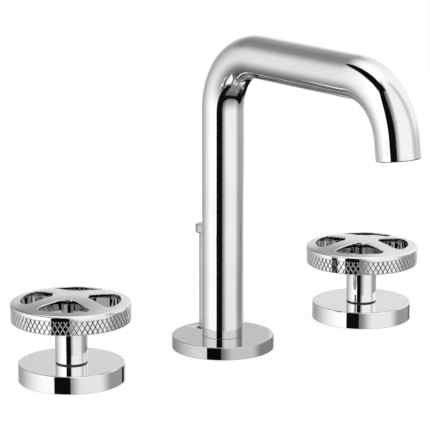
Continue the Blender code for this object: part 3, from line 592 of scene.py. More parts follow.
# Lift rod. A chromed rod with a small round knob pressed on its top, which works the drain. It
# slides in a black plastic bush in the escutcheon, close behind the tube.
KNOB_EDGE = 0.7 * MM
KNOB_ROOF = 1.4 * MM
BUSH_BORE_R = 2.6 * MM
BUSH_R = 3.6 * MM
BUSH_FLANGE_H = 1.5 * MM
# The rod and knob take a copy of the chrome painted darker (0.6): painted shade for the grey they mirror.
ROD_CHROME = chrome_plate("rod_chrome_painted_shade", 0.6)

piece("lift_rod", [lathe(rounded([
    (0, rod_top, 0), (rod_r, rod_top, 0.4 * MM), (rod_r, rod_foot, 0.6 * MM), (0, rod_foot, 0)]),
    y=rod_y, sides=72)], ROD_CHROME)
_, _, knob_r, knob_foot, knob_top = axis_of("lift_rod_knob")
socket_r, socket_top = rod_r + SEAT_GAP, knob_top - KNOB_ROOF
piece("lift_rod_knob", [lathe(rounded([
    (0, knob_top, 0), (knob_r, knob_top, KNOB_EDGE), (knob_r, knob_foot, KNOB_EDGE),
    (socket_r, knob_foot, 0.15 * MM), (socket_r, socket_top, 0), (0, socket_top, 0)], FINE_ARC),
    y=rod_y, sides=96)], ROD_CHROME)
_, _, flange_r, flange_foot, _ = axis_of("lift_rod_bush")
flange_top = flange_foot + BUSH_FLANGE_H
piece("lift_rod_bush", [lathe(rounded([
    (BUSH_BORE_R, plate_top, 0.15 * MM), (BUSH_R, plate_top, 0.15 * MM), (BUSH_R, flange_top, 0),
    (flange_r, flange_top, BROKEN), (flange_r, flange_foot, BROKEN),
    (BUSH_BORE_R, flange_foot, BROKEN)]), y=rod_y, sides=72)], BLACK_PLASTIC)

# Valves. Each handle works a quarter-turn ceramic cartridge, held by a bonnet nut in a threaded
# brass body, which a nut and two washers clamp under the deck.
WHITE_PLASTIC = moulded_plastic("white_plastic", (0.72, 0.72, 0.69, 1), (0.82, 0.82, 0.8, 1), 0.34)


def fired_ceramic():
    """Lapped alumina: nearly white, with fine grey specks in a satin face."""
    graph, place = begun("white_ceramic")
    specks = graph.noise(place, 0.3 * MM).between(0.68, 0.76)
    cloud = graph.noise(place, 6 * MM)
    clean = graph.blend(cloud, (0.84, 0.83, 0.79, 1), (0.9, 0.89, 0.87, 1))
    return graph.surface(
        Base_Color=graph.blend(specks, clean, (0.45, 0.44, 0.42, 1)),
        Roughness=0.16 + 0.1 * cloud,
        Normal=graph.bump(cloud, 0.01 * MM, 0.2))


CERAMIC = fired_ceramic()
HANDLE_NUT_FLAT_R = 18.0 * MM
BODY_HOLE_R = 13.3 * MM
CARTRIDGE_NECK_R = 6.2 * MM
CARTRIDGE_BORE_R = 4.6 * MM
CARTRIDGE_ROOM_R = 8.1 * MM
CARTRIDGE_SHOULDER = -1.0 * MM
CARTRIDGE_ROOM_TOP = -15.1 * MM
O_RING_ROOM = 0.3 * MM  # above and below the ring in its groove
O_RING_STEPS = 24
BONNET_PLAY = 0.3 * MM

for prefix in ("hot", "cold"):
    valve_x = axis_of(prefix + "_escutcheon")[0]
    for node, material in (
            ("valve_body", BRASS), ("stem", BRASS), ("moving_disc", CERAMIC), ("fixed_disc", CERAMIC),
            ("seat_seal", RUBBER)):
        carry_over(prefix + "_" + node, material)
    for name, material, rounding in WASHERS:
        ring(prefix + "_" + name, material, (rounding,) * 4, bore_r=BODY_HOLE_R)
    clamp_nut(prefix + "_mounting_nut", BODY_HOLE_R, HANDLE_NUT_FLAT_R)

    _, _, ring_r, ring_foot, ring_top = axis_of(prefix + "_cartridge_o_ring")
    half = (ring_top - ring_foot) / 2
    turn = np.linspace(0, TURN, O_RING_STEPS + 1)[:-1]
    circle = np.stack((ring_r - half + half * np.cos(turn), ring_foot + half + half * np.sin(turn)), -1)
    piece(prefix + "_cartridge_o_ring", [lathe(circle, valve_x)], RUBBER)

    _, _, case_r, case_foot, case_top = axis_of(prefix + "_cartridge_housing")
    groove_r, groove_top, groove_foot = case_r - 2 * half, ring_top + O_RING_ROOM, ring_foot - O_RING_ROOM
    piece(prefix + "_cartridge_housing", [lathe(rounded([
        (CARTRIDGE_BORE_R, case_top, BROKEN), (CARTRIDGE_NECK_R, case_top, 0.4 * MM),
        (CARTRIDGE_NECK_R, CARTRIDGE_SHOULDER, 0.3 * MM), (case_r, CARTRIDGE_SHOULDER, 0.4 * MM),
        (case_r, groove_top, BROKEN), (groove_r, groove_top, BROKEN), (groove_r, groove_foot, BROKEN),
        (case_r, groove_foot, BROKEN), (case_r, case_foot, 0.3 * MM), (CARTRIDGE_ROOM_R, case_foot, BROKEN),
        (CARTRIDGE_ROOM_R, CARTRIDGE_ROOM_TOP, BROKEN), (CARTRIDGE_BORE_R, CARTRIDGE_ROOM_TOP, BROKEN)], 4),
        valve_x)], WHITE_PLASTIC)

    ring(prefix + "_bonnet_nut", BRASS, (0.5, 0.5, 0.4, 0.4), bore_r=CARTRIDGE_NECK_R + BONNET_PLAY)

# Handle escutcheons. Turned and chromed like the spout's, a little taller, with a lipped hole in
# which the black plastic glide ring sits. The neck turns on that ring.
RING_WALL = 1.5 * MM
RING_LIP_R = 6.8 * MM
RING_LIP = 1.2 * MM
HANDLE_BOSS_R = 16.0 * MM
HANDLE_BOSS_FOOT = 0.3 * MM
HANDLE_LIP_FOOT = 5.6 * MM
RING_PLAY = 0.15 * MM

for prefix in ("hot", "cold"):
    x, _, cover_r, _, cover_top = axis_of(prefix + "_escutcheon")
    seat_r = axis_of(prefix + "_glide_ring")[2] + RING_PLAY
    cover_under, lip_top = cover_top - ESCUTCHEON_PLATE, cover_top - RING_LIP
    piece(prefix + "_escutcheon", [lathe(rounded([
        (seat_r, cover_top, BROKEN), (cover_r, cover_top, ESCUTCHEON_EDGE), (cover_r, 0, 0.15 * MM),
        (cover_r - ESCUTCHEON_SKIRT, 0, 0.15 * MM), (cover_r - ESCUTCHEON_SKIRT, cover_under, 0.8 * MM),
        (HANDLE_BOSS_R, cover_under, 0.5 * MM), (HANDLE_BOSS_R, HANDLE_BOSS_FOOT, BROKEN),
        (BODY_HOLE_R, HANDLE_BOSS_FOOT, BROKEN), (BODY_HOLE_R, HANDLE_LIP_FOOT, BROKEN),
        (RING_LIP_R, HANDLE_LIP_FOOT, BROKEN), (RING_LIP_R, lip_top, BROKEN),
        (seat_r, lip_top, 0.1 * MM)], FINE_ARC), x, sides=ESCUTCHEON_SIDES)], CHROME)
    ring(prefix + "_gasket", RUBBER, GASKET_ROUNDINGS, wall=GASKET_WIDTH)
    ring(prefix + "_glide_ring", BLACK_PLASTIC, (0.15, 0.2, 0.2, 0.15), wall=RING_WALL)

# Necks. A plain chromed sleeve under each wheel. A set screw at the back holds it on the brass
# adapter, which fits the cartridge's stem.
NECK_BORE_R = 6.3 * MM
ADAPTER_BORE_R = 4.5 * MM
ADAPTER_ROOF = 1.5 * MM
SCREW_HOLE_R = 1.6 * MM
SCREW_R = 1.5 * MM
KEY_FLAT_R = 0.65 * MM
KEY_DEPTH_SHARE = 0.5
SCREW_SIDES = 72


def level_lathe(outline, radii, x, z, sides):
    """A turned surface round a level axis at x and z, from front to back."""
    centres = np.stack((outline[:, 0] * 0 + x, outline[:, 1], outline[:, 0] * 0 + z), -1)
    return net(carried(radii, centres, EAST, (0, 0, 1), sides))


for prefix in ("hot", "cold"):
    x, _, neck_r, _, neck_top = axis_of(prefix + "_neck")
    neck_foot = axis_of(prefix + "_glide_ring")[4] + SEAT_GAP
    neck = piece(prefix + "_neck", [lathe(collar(
        neck_r, NECK_BORE_R, neck_foot, neck_top, (0.2, 0.3, 0.2, 0.2)), x)], CHROME)
    screw_low, screw_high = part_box(prefix + "_grub_screw")
    screw_z = (screw_low.z + screw_high.z) / 2
    hole = plug(SCREW_HOLE_R, NECK_BORE_R - MM, neck_r + MM)
    drilled(neck, prefix + "_screw_hole_cutter", level_lathe(hole, hole[:, 0], x, screw_z, 48))
    key_floor = screw_high.y - KEY_DEPTH_SHARE * (screw_high.y - screw_low.y)
    screw = rounded([
        (0, screw_low.y, 0), (SCREW_R, screw_low.y, 0.3 * MM), (SCREW_R, screw_high.y, BROKEN),
        (KEY_FLAT_R, screw_high.y, 0), (KEY_FLAT_R, key_floor, 0), (0, key_floor, 0)])
    in_key = np.abs(screw[:, :1] - KEY_FLAT_R) < MERGE
    screw_radii = np.where(in_key, hexagon(KEY_FLAT_R, SCREW_SIDES), screw[:, :1])
    piece(prefix + "_grub_screw", [level_lathe(screw, screw_radii, x, screw_z, SCREW_SIDES)], STEEL)
    _, _, adapter_r, adapter_foot, adapter_top = axis_of(prefix + "_spline_adapter")
    adapter_roof = adapter_top - ADAPTER_ROOF
    piece(prefix + "_spline_adapter", [lathe(rounded([
        (0, adapter_top, 0), (adapter_r, adapter_top, 0.5 * MM), (adapter_r, adapter_foot, 0.4 * MM),
        (ADAPTER_BORE_R, adapter_foot, 0.3 * MM), (ADAPTER_BORE_R, adapter_roof, 0), (0, adapter_roof, 0)]),
        x, sides=96)], BRASS)

# Wheels. Each is one chromed brass casting: a shallow dome with four openings between its
# spokes, a rounded edge, a smooth band, a diamond knurled band and a pin pressed into the neck.
DIAMONDS = 70
DIAMOND_STEPS = 8  # grid steps across and down one diamond
KNURL_ROWS = 12
KNURL_SHIFT = 2  # grid steps from the band's top to the first crossing
GROOVE_SHARE = 0.125  # half a groove's width, as a share of a diamond's
GROOVE_DEPTH = 0.2 * MM
KNURL_INSET = 0.3 * MM
KNURL_HIGH = 7.4 * MM
KNURL_FADE = 0.1 * MM
BAND_HIGH = 1.5 * MM
EDGE_WIDTH = 1.7 * MM
EDGE_BULGE = 0.94 * MM  # from the band's top to where the edge's two tangents meet
EDGE_STEPS = 10
FOOT_CHAMFER = 0.3 * MM
DOME_R = 128.0 * MM
PLATE = 8.0 * MM
RIM_WALL = 3.3 * MM
OPENING_LAND = 5.5 * MM
OPENING_HUB_R = 9.7 * MM
HALF_SPOKE = 4.5 * MM
OPENING_CORNER = 3.2 * MM
HUB_CORNER = 0.9 * MM
OPENING_EDGE = 0.45 * MM  # rounding of each opening's top edge
PIN_R = 6.0 * MM
PIN_FOOT = 34.26 * MM
RIM_STEPS = DIAMONDS * DIAMOND_STEPS


def dome(radius, crown):
    """Height of a shallow dome: crown - R + sqrt(R^2 - radius^2)."""
    return crown - DOME_R + np.sqrt(DOME_R ** 2 - radius ** 2)


def on_dome(flat, crown):
    """Points x, y raised to a dome."""
    return np.column_stack((flat, dome(np.hypot(*flat.T), crown)))


def bow(middle, radius, start, end, steps):
    """Points of an arc with their angles, (x, y, angle), from one angle to another."""
    angle = np.linspace(start, end, steps + 1)
    x, y = middle[0] + radius * np.cos(angle), middle[1] + radius * np.sin(angle)
    return np.stack((x, y, angle), -1)


def mirrored(path):
    """The same points on the other side of the +x +y diagonal, from last to first."""
    return np.stack((path[:, 1], path[:, 0], math.pi / 2 - path[:, 2]), -1)[::-1]


def opening_outline(out_r):
    """One opening on the +x +y diagonal, as (x, y, direction into the metal), once round from the
    middle of its hub side: hub arc, hub corner, straight side, outer corner, then the outer arc,
    and the same mirrored back."""
    outer_v = HALF_SPOKE + OPENING_CORNER
    outer_u = math.sqrt((out_r - OPENING_CORNER) ** 2 - outer_v ** 2)
    hub_v = HALF_SPOKE + HUB_CORNER
    hub_u = math.sqrt((OPENING_HUB_R + HUB_CORNER) ** 2 - hub_v ** 2)
    outer_angle, hub_angle = math.atan2(outer_v, outer_u), math.atan2(hub_v, hub_u)
    down = -math.pi / 2
    split = (down + outer_angle) / 2
    hub = bow((0, 0), OPENING_HUB_R, math.pi / 4, hub_angle, steps=6)
    hub[:, 2] += math.pi
    corner = bow((hub_u, hub_v), HUB_CORNER, hub_angle + math.pi, -down * 3, steps=7)
    side_x = np.linspace(hub_u, outer_u, 12)[1:-1]
    side = np.stack((side_x, 0 * side_x + HALF_SPOKE, 0 * side_x - down * 3), -1)
    outer = bow((outer_u, outer_v), OPENING_CORNER, down, split, steps=8)
    outer[:, 2] += TURN
    leg = np.vstack((hub, corner[1:], side, outer))
    rest = bow((outer_u, outer_v), OPENING_CORNER, split, outer_angle, steps=40)
    arc = bow((0, 0), out_r, outer_angle, math.pi / 2 - outer_angle, steps=200)
    rim = np.vstack((rest, arc[1:], mirrored(rest)[1:]))
    length = np.concatenate(([0], np.cumsum(np.hypot(*np.diff(rim[:, :2], axis=0).T))))
    even = np.linspace(0, length[-1], RIM_STEPS // 4 + 1)
    rim = np.stack([np.interp(even, length, rim[:, i]) for i in range(3)], -1)
    return leg, rim, mirrored(leg)


def cell_edge(leg, rim_r):
    """The edge of one quarter of the wheel, point by point against its opening's outline: out along
    the first spoke's middle line, round the rim, and back along the second spoke's."""
    share = (leg[:, 0] - leg[0, 0]) / (leg[-1, 0] - leg[0, 0])
    out = np.stack((rim_r * share, 0 * share), -1)
    turn = np.linspace(0, math.pi / 2, RIM_STEPS // 4 + 1)
    return np.vstack((out, rim_r * np.stack((np.cos(turn), np.sin(turn)), -1)[1:-1], out[::-1, ::-1]))


def wheel_quarter(rim_r, out_r, wall_r, crown):
    """Underside, opening's wall, its rounded edge and the dome of one quarter, as one grid of rows
    from the rim's inner wall in to the opening and back out to the rounded rim."""
    leg, rim, back = opening_outline(out_r)
    outline = np.vstack((leg, rim[1:-1], back))
    edge = cell_edge(leg, rim_r)
    into = np.stack((np.cos(outline[:, 2]), np.sin(outline[:, 2])), -1)
    hole = outline[:, :2]
    rows = []
    for share in (1, 0.8, 0.55, 0.3, 0.1, 0):
        rows.append(on_dome(hole + share * (edge * wall_r / rim_r - hole), crown - PLATE))
    rows_top = []
    for angle in np.linspace(0, math.pi / 2, 6):
        row = on_dome(hole + OPENING_EDGE * (1 - math.cos(angle)) * into, crown)
        rows_top.append(row - (0, 0, OPENING_EDGE * (1 - math.sin(angle))))
    rows.append((rows[-1] + rows_top[0]) / 2)
    start = hole + OPENING_EDGE * into
    for share in (0.03, 0.12, 0.3, 0.5, 0.7, 0.88, 0.97, 1):
        rows_top.append(on_dome(start + share * (edge - start), crown))
    return np.stack(rows + rows_top)


def knurl(columns, rows, land_r):
    """Radius at grid steps round and down the knurled band: two families of V grooves, where
    columns + rows and columns - rows are whole diamonds, cut GROOVE_DEPTH deep into the land."""
    first = (columns + rows) / DIAMOND_STEPS
    second = (columns - rows) / DIAMOND_STEPS
    off = np.minimum(np.abs(first - np.round(first)), np.abs(second - np.round(second)))
    return land_r - GROOVE_DEPTH * np.clip(1 - off / GROOVE_SHARE, 0, 1)


def fans(grid, middles):
    """Points and triangles over a grid, four to a cell, about the cell's own middle point."""
    points, quads = net(grid)
    centre = len(points) + np.arange(middles[..., 0].size)[:, None]
    sides = [np.hstack((quads[:, [i]], quads[:, [(i + 1) % 4]], centre)) for i in range(4)]
    return np.vstack((points, middles.reshape(-1, 3))), np.vstack(sides)


def ringed(radii, heights, turn, x):
    """A grid of points at radii and heights, row by row, round the wheel's axis."""
    radii = np.broadcast_to(radii, (len(heights), len(turn)))
    heights = np.broadcast_to(heights[:, None], radii.shape)
    return np.stack((x + radii * np.cos(turn), radii * np.sin(turn), heights), -1)


def off_axis_squared(place):
    """x^2 + y^2 from the axis of the nearer wheel."""
    x, y = place["X"].math("ABSOLUTE") - wheel_x, place["Y"]
    return x * x + y * y


def groove_painted_shade(place):
    """Where shade is painted into the knurl's grooves: how deep in a groove, the land's radius less the
    distance from the wheel's axis, over the groove's depth, on the knurled band only."""
    off_axis, height = off_axis_squared(place).math("SQRT"), place["Z"]
    depth = (off_axis * -1 + land_r).between(0.1 * GROOVE_DEPTH, 0.8 * GROOVE_DEPTH)
    on_band = height.band(knurl_foot, knurl_foot + KNURL_FADE, band_foot - KNURL_FADE, band_foot)
    return depth * on_band * (off_axis - land_r).between(-3 * GROOVE_DEPTH, -2 * GROOVE_DEPTH)


def recess_painted_shade(place):
    """Painted shade: whether a place is on an opening's wall or under the wheel, by how much it lies
    below the dome, within the rim."""
    across = off_axis_squared(place)
    below = (across * -1 + DOME_R ** 2).math("SQRT") - place["Z"] + (crown - DOME_R)
    inside = across.math("SQRT").between(land_r - MM, land_r - 1.5 * MM)
    return below.between(OPENING_EDGE, OPENING_EDGE + 0.2 * MM) * inside


wheel_x, _, band_r, wheel_foot, crown = axis_of("cold_wheel")
land_r, knurl_foot, band_foot = band_r - KNURL_INSET, wheel_foot + FOOT_CHAMFER, wheel_foot + KNURL_HIGH
# Painted shade: the knurl's grooves are painted near black (0.13), and the openings' walls and the wheel's
# underside mid grey (0.55).
KNURLED_CHROME = chrome_plate("knurled_chrome", 1, ((groove_painted_shade, 0.13, 0.3), (recess_painted_shade, 0.55, 0)))

for prefix in ("hot", "cold"):
    x, _, band_r, wheel_foot, crown = axis_of(prefix + "_wheel")
    rim_r, wall_r, band_top = band_r - EDGE_WIDTH, band_r - RIM_WALL, band_foot + BAND_HIGH
    cell = wheel_quarter(rim_r, band_r - OPENING_LAND, wall_r, crown)
    skins = []
    for quarter in range(4):
        angle = quarter * math.pi / 2
        cos, sin = math.cos(angle), math.sin(angle)
        spin = np.array(((cos, sin, 0), (-sin, cos, 0), (0, 0, 1)))
        skins.append(net(cell @ spin + (x, 0, 0)))

    turn = np.linspace(0, TURN, RIM_STEPS + 1)
    t = np.linspace(0, 1, EDGE_STEPS + 1)[:, None]
    corner = np.array((band_r, band_top + EDGE_BULGE))
    rim_edge = np.array((rim_r, float(dome(rim_r, crown))))
    edge = (1 - t) ** 2 * rim_edge + 2 * t * (1 - t) * corner + t ** 2 * np.array((band_r, band_top))
    band = np.array((
        (band_r, band_top - 0.3 * MM), (band_r, band_foot + 0.25 * MM), (band_r, band_foot + 0.1 * MM),
        (band_r - 0.03 * MM, band_foot + 0.03 * MM), (band_r - 0.1 * MM, band_foot)))
    columns = np.arange(RIM_STEPS + 1)[None, :] + KNURL_SHIFT
    down = np.arange(KNURL_ROWS + 1)[:, None] - KNURL_SHIFT
    knurl_z = np.linspace(band_foot, knurl_foot, KNURL_ROWS + 1)
    knurled = ringed(knurl(columns, down, land_r), knurl_z, turn, x)
    half_turn = (turn[:-1] + turn[1:]) / 2
    half_z = (knurl_z[:-1] + knurl_z[1:]) / 2
    middles = ringed(knurl(columns[:, :-1] + 0.5, down[:-1] + 0.5, land_r), half_z, half_turn, x)
    upper = np.vstack((edge, band))
    under_wall = float(dome(wall_r, crown - PLATE))
    lower = np.array((
        (land_r - FOOT_CHAMFER, wheel_foot), (land_r - 0.6 * MM, wheel_foot),
        (wall_r + 0.5 * MM, wheel_foot), (wall_r + 0.2 * MM, wheel_foot),
        (wall_r + 0.06 * MM, wheel_foot + 0.06 * MM), (wall_r, wheel_foot + 0.2 * MM),
        (wall_r, wheel_foot + 0.5 * MM), (wall_r, under_wall)))
    skins.append(net(np.vstack((ringed(upper[:, :1], upper[:, 1], turn, x), knurled[:1]))))
    skins.append(fans(knurled, middles))
    skins.append(net(np.vstack((knurled[-1:], ringed(lower[:, :1], lower[:, 1], turn, x)))))
    pin_top = crown - PLATE - 0.02 * MM
    skins.append(lathe(rounded([
        (0, pin_top, 0), (PIN_R, pin_top, 0), (PIN_R, PIN_FOOT, 0.6 * MM), (0, PIN_FOOT, 0)]), x, sides=64))
    piece(prefix + "_wheel", skins, KNURLED_CHROME)

# Studio. A pale floor that stands for the deck, soft lamps, and a surround that only chrome shows:
# light panels to the left, to the right and behind, and dark bands between them. A large black
# card and small flags, which are seen in reflections alone, shade the spout and the wheels.
CAMERA_PLACE = (-807.3 * MM, -1022.9 * MM, 375.5 * MM)
CAMERA_YAW = math.radians(38.09)
CAMERA_PITCH = math.radians(-13.01)
CAMERA_LENS, CAMERA_SENSOR = 204.97, 36
CAMERA_REACH = 0.05, 20

camera_data = bpy.data.cameras.new("camera")
camera_data.lens = CAMERA_LENS
camera_data.sensor_width = CAMERA_SENSOR
camera_data.clip_start, camera_data.clip_end = CAMERA_REACH
camera = placed("camera", camera_data)
camera.location = CAMERA_PLACE
camera.rotation_euler = (math.pi / 2 + CAMERA_PITCH, 0, -CAMERA_YAW)
bpy.context.scene.camera = camera


def sheet(name, foot, side, rise):
    """A flat sheet that isn't part of the object: a corner and the ways along two edges."""
    mesh = bpy.data.meshes.new(name)
    mesh.from_pydata(np.array((foot, foot + side, foot + side + rise, foot + rise)), [], [(0, 1, 2, 3)])
    made = placed(name, mesh)
    return made


def lit_up(graph, share, under, strength):
    """Ends a sheet's graph in a share of plain white light over another shader."""
    glow = graph.node("Emission", {"Color": (1, 1, 1, 1), "Strength": strength})
    mixed = graph.node("MixShader", {"Fac": share, "Shader": under, "Shader_001": glow})
    graph.node("OutputMaterial", {"Surface": mixed})
    return graph.owner


FLOOR_SIZE, FLOOR_Z = 10.0, -0.2 * MM
FLOOR_WHITE = 0.86  # how much of what the camera sees of it is plain white
UP, FORTH = np.array((0.0, 0.0, 1.0)), np.array((0.0, 1.0, 0.0))
floor = sheet(
    "floor", np.array((-FLOOR_SIZE / 2, -FLOOR_SIZE / 2, FLOOR_Z)), EAST * FLOOR_SIZE, FORTH * FLOOR_SIZE)
floor.visible_glossy = False
graph = Graph(bpy.data.materials.new("pale_floor"))
matt = graph.node("BsdfDiffuse", {"Color": (0.85, 0.85, 0.85, 1)})
seen = graph.node("LightPath", output="Is Camera Ray")
floor.data.materials.append(lit_up(graph, seen * FLOOR_WHITE, matt, 1.0))

for name, place, size, power in (
        ("left_lamp", (-1.3, -0.7, 1.1), 0.9, 14), ("right_lamp", (1.2, -0.9, 1.3), 1.0, 12),
        ("top_lamp", (0.0, 0.3, 1.8), 1.4, 12)):
    lamp_data = bpy.data.lights.new(name, "AREA")
    lamp_data.size, lamp_data.energy = size, power
    lamp = placed(name, lamp_data)
    lamp.location = place
    away = np.array(place) / np.linalg.norm(place)
    lamp.rotation_euler = (math.acos(away[2]), 0, math.atan2(away[0], -away[1]))
    lamp.visible_glossy = False

UNDER_DECK = -0.5 * MM  # pieces that reach lower aren't mirrored, as a deck would hide them
for node in frame["nodes"]:
    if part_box(node)[0].z < UNDER_DECK:
        for shown in [frame["nodes"][node], bpy.data.objects.get(node + "_finished")]:
            if shown:
                shown.visible_glossy = False


CHROME_SHINE = 0.9
SCREEN_GAMMA = 2.2


def grey(display):
    """Light that chrome shows as a grey from 0 to 1 on the screen."""
    return round(display ** SCREEN_GAMMA / CHROME_SHINE, 4)


def laid(under, share, display):
    """The surround with a grey laid over a share of it."""
    return under + (grey(display) - under) * share


def bent(bearing, places):
    """A height in degrees that changes with the bearing, given as bearing: height."""
    stops = {(at + 180) / 360: height / 180 + 0.5 for at, height in places.items()}
    return graph.node("ValToRGB", {"Fac": bearing / 360 + 0.5}, {"stops": stops}) * 180 - 90


world = bpy.data.worlds.new("studio")
bpy.context.scene.world = world
graph = Graph(world)
parts = graph.node("SeparateXYZ", {"Vector": graph.node("TexCoord", output="Generated")})
towards = parts["X"] * -math.sin(CAMERA_YAW) + parts["Y"] * -math.cos(CAMERA_YAW)
rightwards = parts["X"] * math.cos(CAMERA_YAW) + parts["Y"] * -math.sin(CAMERA_YAW)
bearing = rightwards.math("ARCTAN2", towards) * math.degrees(1)
behind = (bearing + 360).math("MODULO", 360)
height = parts["Z"].math("ARCSINE") * math.degrees(1)

# Bearings and heights are in degrees, seen from the object. A bearing counts from the camera's
# side, to the right up to 180 or, in behind, up to 360.
BLACK = 0.08
left_panel = bearing.band(-155, -54, -30, -20)
right_panel = bearing.band(-22, 16, 66, 98)
rear_panel = behind.band(74, 116, 168, 226)
rear_foot = bent(bearing, {-180: -16, 60: -3, 135: -3, 150: -16, 180: -16})
rear_panel = rear_panel * (height - rear_foot).between(-14, 14)
shadow = (behind.between(168, 184) * 0.6 + behind.between(190, 214) * 0.15) * behind.between(260, 232)
around = laid(grey(0.61), left_panel, 1.04)  # plain grey, then layer upon layer
around = laid(around, right_panel, 0.94)
around = laid(around, rear_panel, 0.94)
around = around * (1 - 0.16 * behind.band(138, 176, 200, 232) * height.between(-6, 6))
around = laid(around, shadow * height.band(13, 30, 40, 56), 0.44)
card_side = (bearing + height.between(-5, -13) * -12).between(14, -16) * bearing.between(-34, -20)
around = around * (1 - 0.62 * card_side)
around = around * (1 - 0.76 * height.between(-6, -48))
around = laid(around, height.between(-46, -56), 0.41)
around = laid(around, behind.band(168, 190, 236, 262) * height.between(-46, -60), 0.27)
around = laid(around, height.between(-62, -70), 0.5)
roof_foot = bent(bearing, {-180: 44, -130: 44, -60: 56, -10: 64, 75: 64, 120: 56, 160: 46, 180: 44})
around = laid(around, (height - roof_foot).between(0, 24), 0.99)

strip = bearing.band(-39, -35, -10, -6) * height.band(-79, -74, -42, -36)
bar_middle = bent(bearing, {
    -180: 40, -125: 43, -118: 46, -105: 51.5, -90: 56.5, -75: 59, -60: 60.5, -45: 59, -30: 62,
    -15: 65, 0: 66, 180: 66})
bar_half = bent(bearing, {
    -180: -6, -126: -2, -118: 6, -105: 10, -90: 11.5, -75: 12.5, -60: 12.5, -45: 13.5, -30: 10,
    -15: 5, 0: 0.5, 10: -6, 180: -6})
bar = (bar_half - (height - bar_middle).math("ABSOLUTE")).between(-2, 2)
skirting_middle = bent(bearing, {
    -180: -36, -10: -36, 0: -41.5, 15: -47, 30: -50, 45: -50, 60: -48.5, 75: -45, 85: -41.5,
    98: -37, 120: -36.5, 135: -38, 150: -36, 165: -35, 180: -36})
skirting_half = bent(bearing, {
    -180: -6, -20: -6, -10: 9, 0: 7.5, 15: 6, 45: 5, 75: 5.5, 85: 7, 92: 10, 98: 14.5, 112: 15,
    120: 13, 127: 12, 135: 13.5, 143: 15, 152: 17, 165: 17, 176: 14, 179: -6, 180: -6})
skirting = (skirting_half - (height - skirting_middle).math("ABSOLUTE")).between(-2.5, 2.5)
studio = laid(around, strip.math("MAXIMUM", bar).math("MAXIMUM", skirting), BLACK)

ROOM_LIGHT = 0.8  # for surfaces that don't mirror
path = graph.node("LightPath")
is_camera, is_glossy = path["Is Camera Ray"], path["Is Glossy Ray"]
other = ROOM_LIGHT + (studio - ROOM_LIGHT) * is_glossy
strength = other + (1 - other) * is_camera
background = graph.node("Background", {"Color": (1, 1, 1, 1), "Strength": strength})
graph.node("OutputWorld", {"Surface": background})
world.cycles.sampling_method = "NONE"

bpy.context.scene.view_settings.view_transform = "Standard"


def aim(degrees_round):
    """A level direction from the object, at a bearing from the camera's side."""
    turned = CAMERA_YAW - math.radians(degrees_round)
    return np.array((-math.sin(turned), -math.cos(turned), 0))


def mirror_card(name, foot, side, rise, shade, cover=lambda place: 1):
    """A card that only reflections see, and only from its front. Its shade is a grey, or gives the
    light at a place; cover thins its edge out."""
    made = sheet(name, foot, side, rise)
    made.visible_camera = made.visible_diffuse = made.visible_shadow = False
    made.visible_transmission = made.visible_volume_scatter = False
    graph, place = begun(name)
    place = graph.node("SeparateXYZ", {"Vector": place})
    front = 1 - graph.node("NewGeometry", output="Backfacing")
    clear = graph.node("BsdfTransparent")
    light = shade(place) if callable(shade) else grey(shade)
    made.data.materials.append(lit_up(graph, front * cover(place), clear, light))


CARD_AWAY = 1.0
CARD_LEFT, CARD_RIGHT = -36.0, -3.7  # bearings in degrees
CARD_FOOT, CARD_TOP = -0.85, 1.75
CARD_MARGIN = 0.05
CARD_FADE = 0.02  # half the width over which its right edge thins out
LEAN_FOOT, LEAN_TOP = 0.15, 1.2  # heights between which that edge leans in
LEAN_SHARE = 0.62  # of half the card's width
across = aim((CARD_LEFT + CARD_RIGHT) / 2 + 90)
half_card = CARD_AWAY * math.tan(math.radians(CARD_RIGHT - CARD_LEFT) / 2)
middle = aim((CARD_LEFT + CARD_RIGHT) / 2) * CARD_AWAY


def tapered(place):
    """The card's right edge leans in with height, and is a little soft."""
    along = place["X"] * across[0] + place["Y"] * across[1]
    edge = half_card * (1 - LEAN_SHARE * place["Z"].between(LEAN_FOOT, LEAN_TOP))
    return (edge - along).between(-CARD_FADE, CARD_FADE)


mirror_card(
    "black_card", middle + across * (half_card + CARD_MARGIN) + UP * CARD_FOOT,
    across * (-2 * half_card - CARD_MARGIN), UP * (CARD_TOP - CARD_FOOT), BLACK, tapered)

FLAG_X, FLAG_FOOT, FLAG_TOP = 48 * MM, 2 * MM, 98 * MM
FLAG_FADE = 13 * MM  # half the height over which its top edge thins out
LEFT_FLAG_START, LEFT_FLAG_WIDE = -16.5 * MM, 36 * MM
RIGHT_FLAG_START, RIGHT_FLAG_WIDE = 18 * MM, 88 * MM
RIGHT_FLAG_SLOPE = 55 * MM


def soft_top(place):
    """The left flag's top edge, thinned out over its last stretch."""
    return place["Z"].between(FLAG_TOP, FLAG_TOP - 2 * FLAG_FADE)


def dim_side(place):
    """The right flag's greys: darkest beside the riser, lighter to the front and to the back."""
    front_share = place["Y"].between(-30 * MM, -70 * MM)
    return laid(laid(grey(0.53), front_share, 0.74), place["Y"].between(-18 * MM, 16 * MM), 0.92)


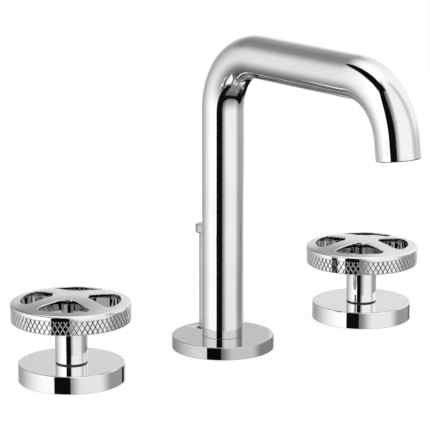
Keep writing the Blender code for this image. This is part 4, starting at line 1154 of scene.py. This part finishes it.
def sloping_top(place):
    """The right flag's top edge, lower towards the front, and as soft."""
    top = FLAG_TOP - FLAG_FADE - RIGHT_FLAG_SLOPE * place["Y"].between(-12 * MM, -34 * MM)
    return (top - place["Z"]).between(-FLAG_FADE, FLAG_FADE)


flag_rise = UP * (FLAG_TOP - FLAG_FOOT)
mirror_card(
    "left_flag", np.array((-FLAG_X, LEFT_FLAG_START, FLAG_FOOT)), FORTH * LEFT_FLAG_WIDE, flag_rise,
    0.98, soft_top)
mirror_card(
    "right_flag", np.array((FLAG_X, RIGHT_FLAG_START, FLAG_FOOT)), FORTH * -RIGHT_FLAG_WIDE, flag_rise,
    dim_side, sloping_top)

WHEEL_FLAG_FOOT = np.array((49, -11, 14)) * MM
WHEEL_FLAG_WIDE, WHEEL_FLAG_HIGH = 8.5 * MM, 26 * MM
mirror_card("wheel_flag", WHEEL_FLAG_FOOT, FORTH * WHEEL_FLAG_WIDE, UP * WHEEL_FLAG_HIGH, 0.15)


def far_card(name, start, bearing, away, wide, high, shade):
    """A card of one grey, at a bearing and a distance from a place, that faces back at it."""
    out = aim(bearing)
    side = np.array((out[1], -out[0], 0)) * wide
    mirror_card(name, start + out * away - side / 2, side, UP * high, shade)


WHEEL_BACK = np.array((116, 25, 31)) * MM
far_card("far_flag", WHEEL_BACK, bearing=171, away=200 * MM, wide=23 * MM, high=28 * MM, shade=0.2)

EDGE_R, EDGE_BEARING = 28.1 * MM, 74  # where the escutcheons' right edges are seen
EDGE_FLAG_FOOT = -26 * MM
for name, x, shade in (("left", -wheel_x, 0.15), ("middle", 0, 0.5), ("right", wheel_x, 0.4)):
    edge = np.array((x, 0, EDGE_FLAG_FOOT)) + aim(EDGE_BEARING) * EDGE_R
    far_card(
        name + "_edge_flag", edge, bearing=149.5, away=60 * MM, wide=18 * MM, high=25 * MM, shade=shade)

COVER, COVER_Z = 72 * MM, 46 * MM
mirror_card(
    "wheel_cover", np.array((wheel_x - COVER / 2, -COVER / 2, COVER_Z)), EAST * COVER, FORTH * COVER, 0.2)
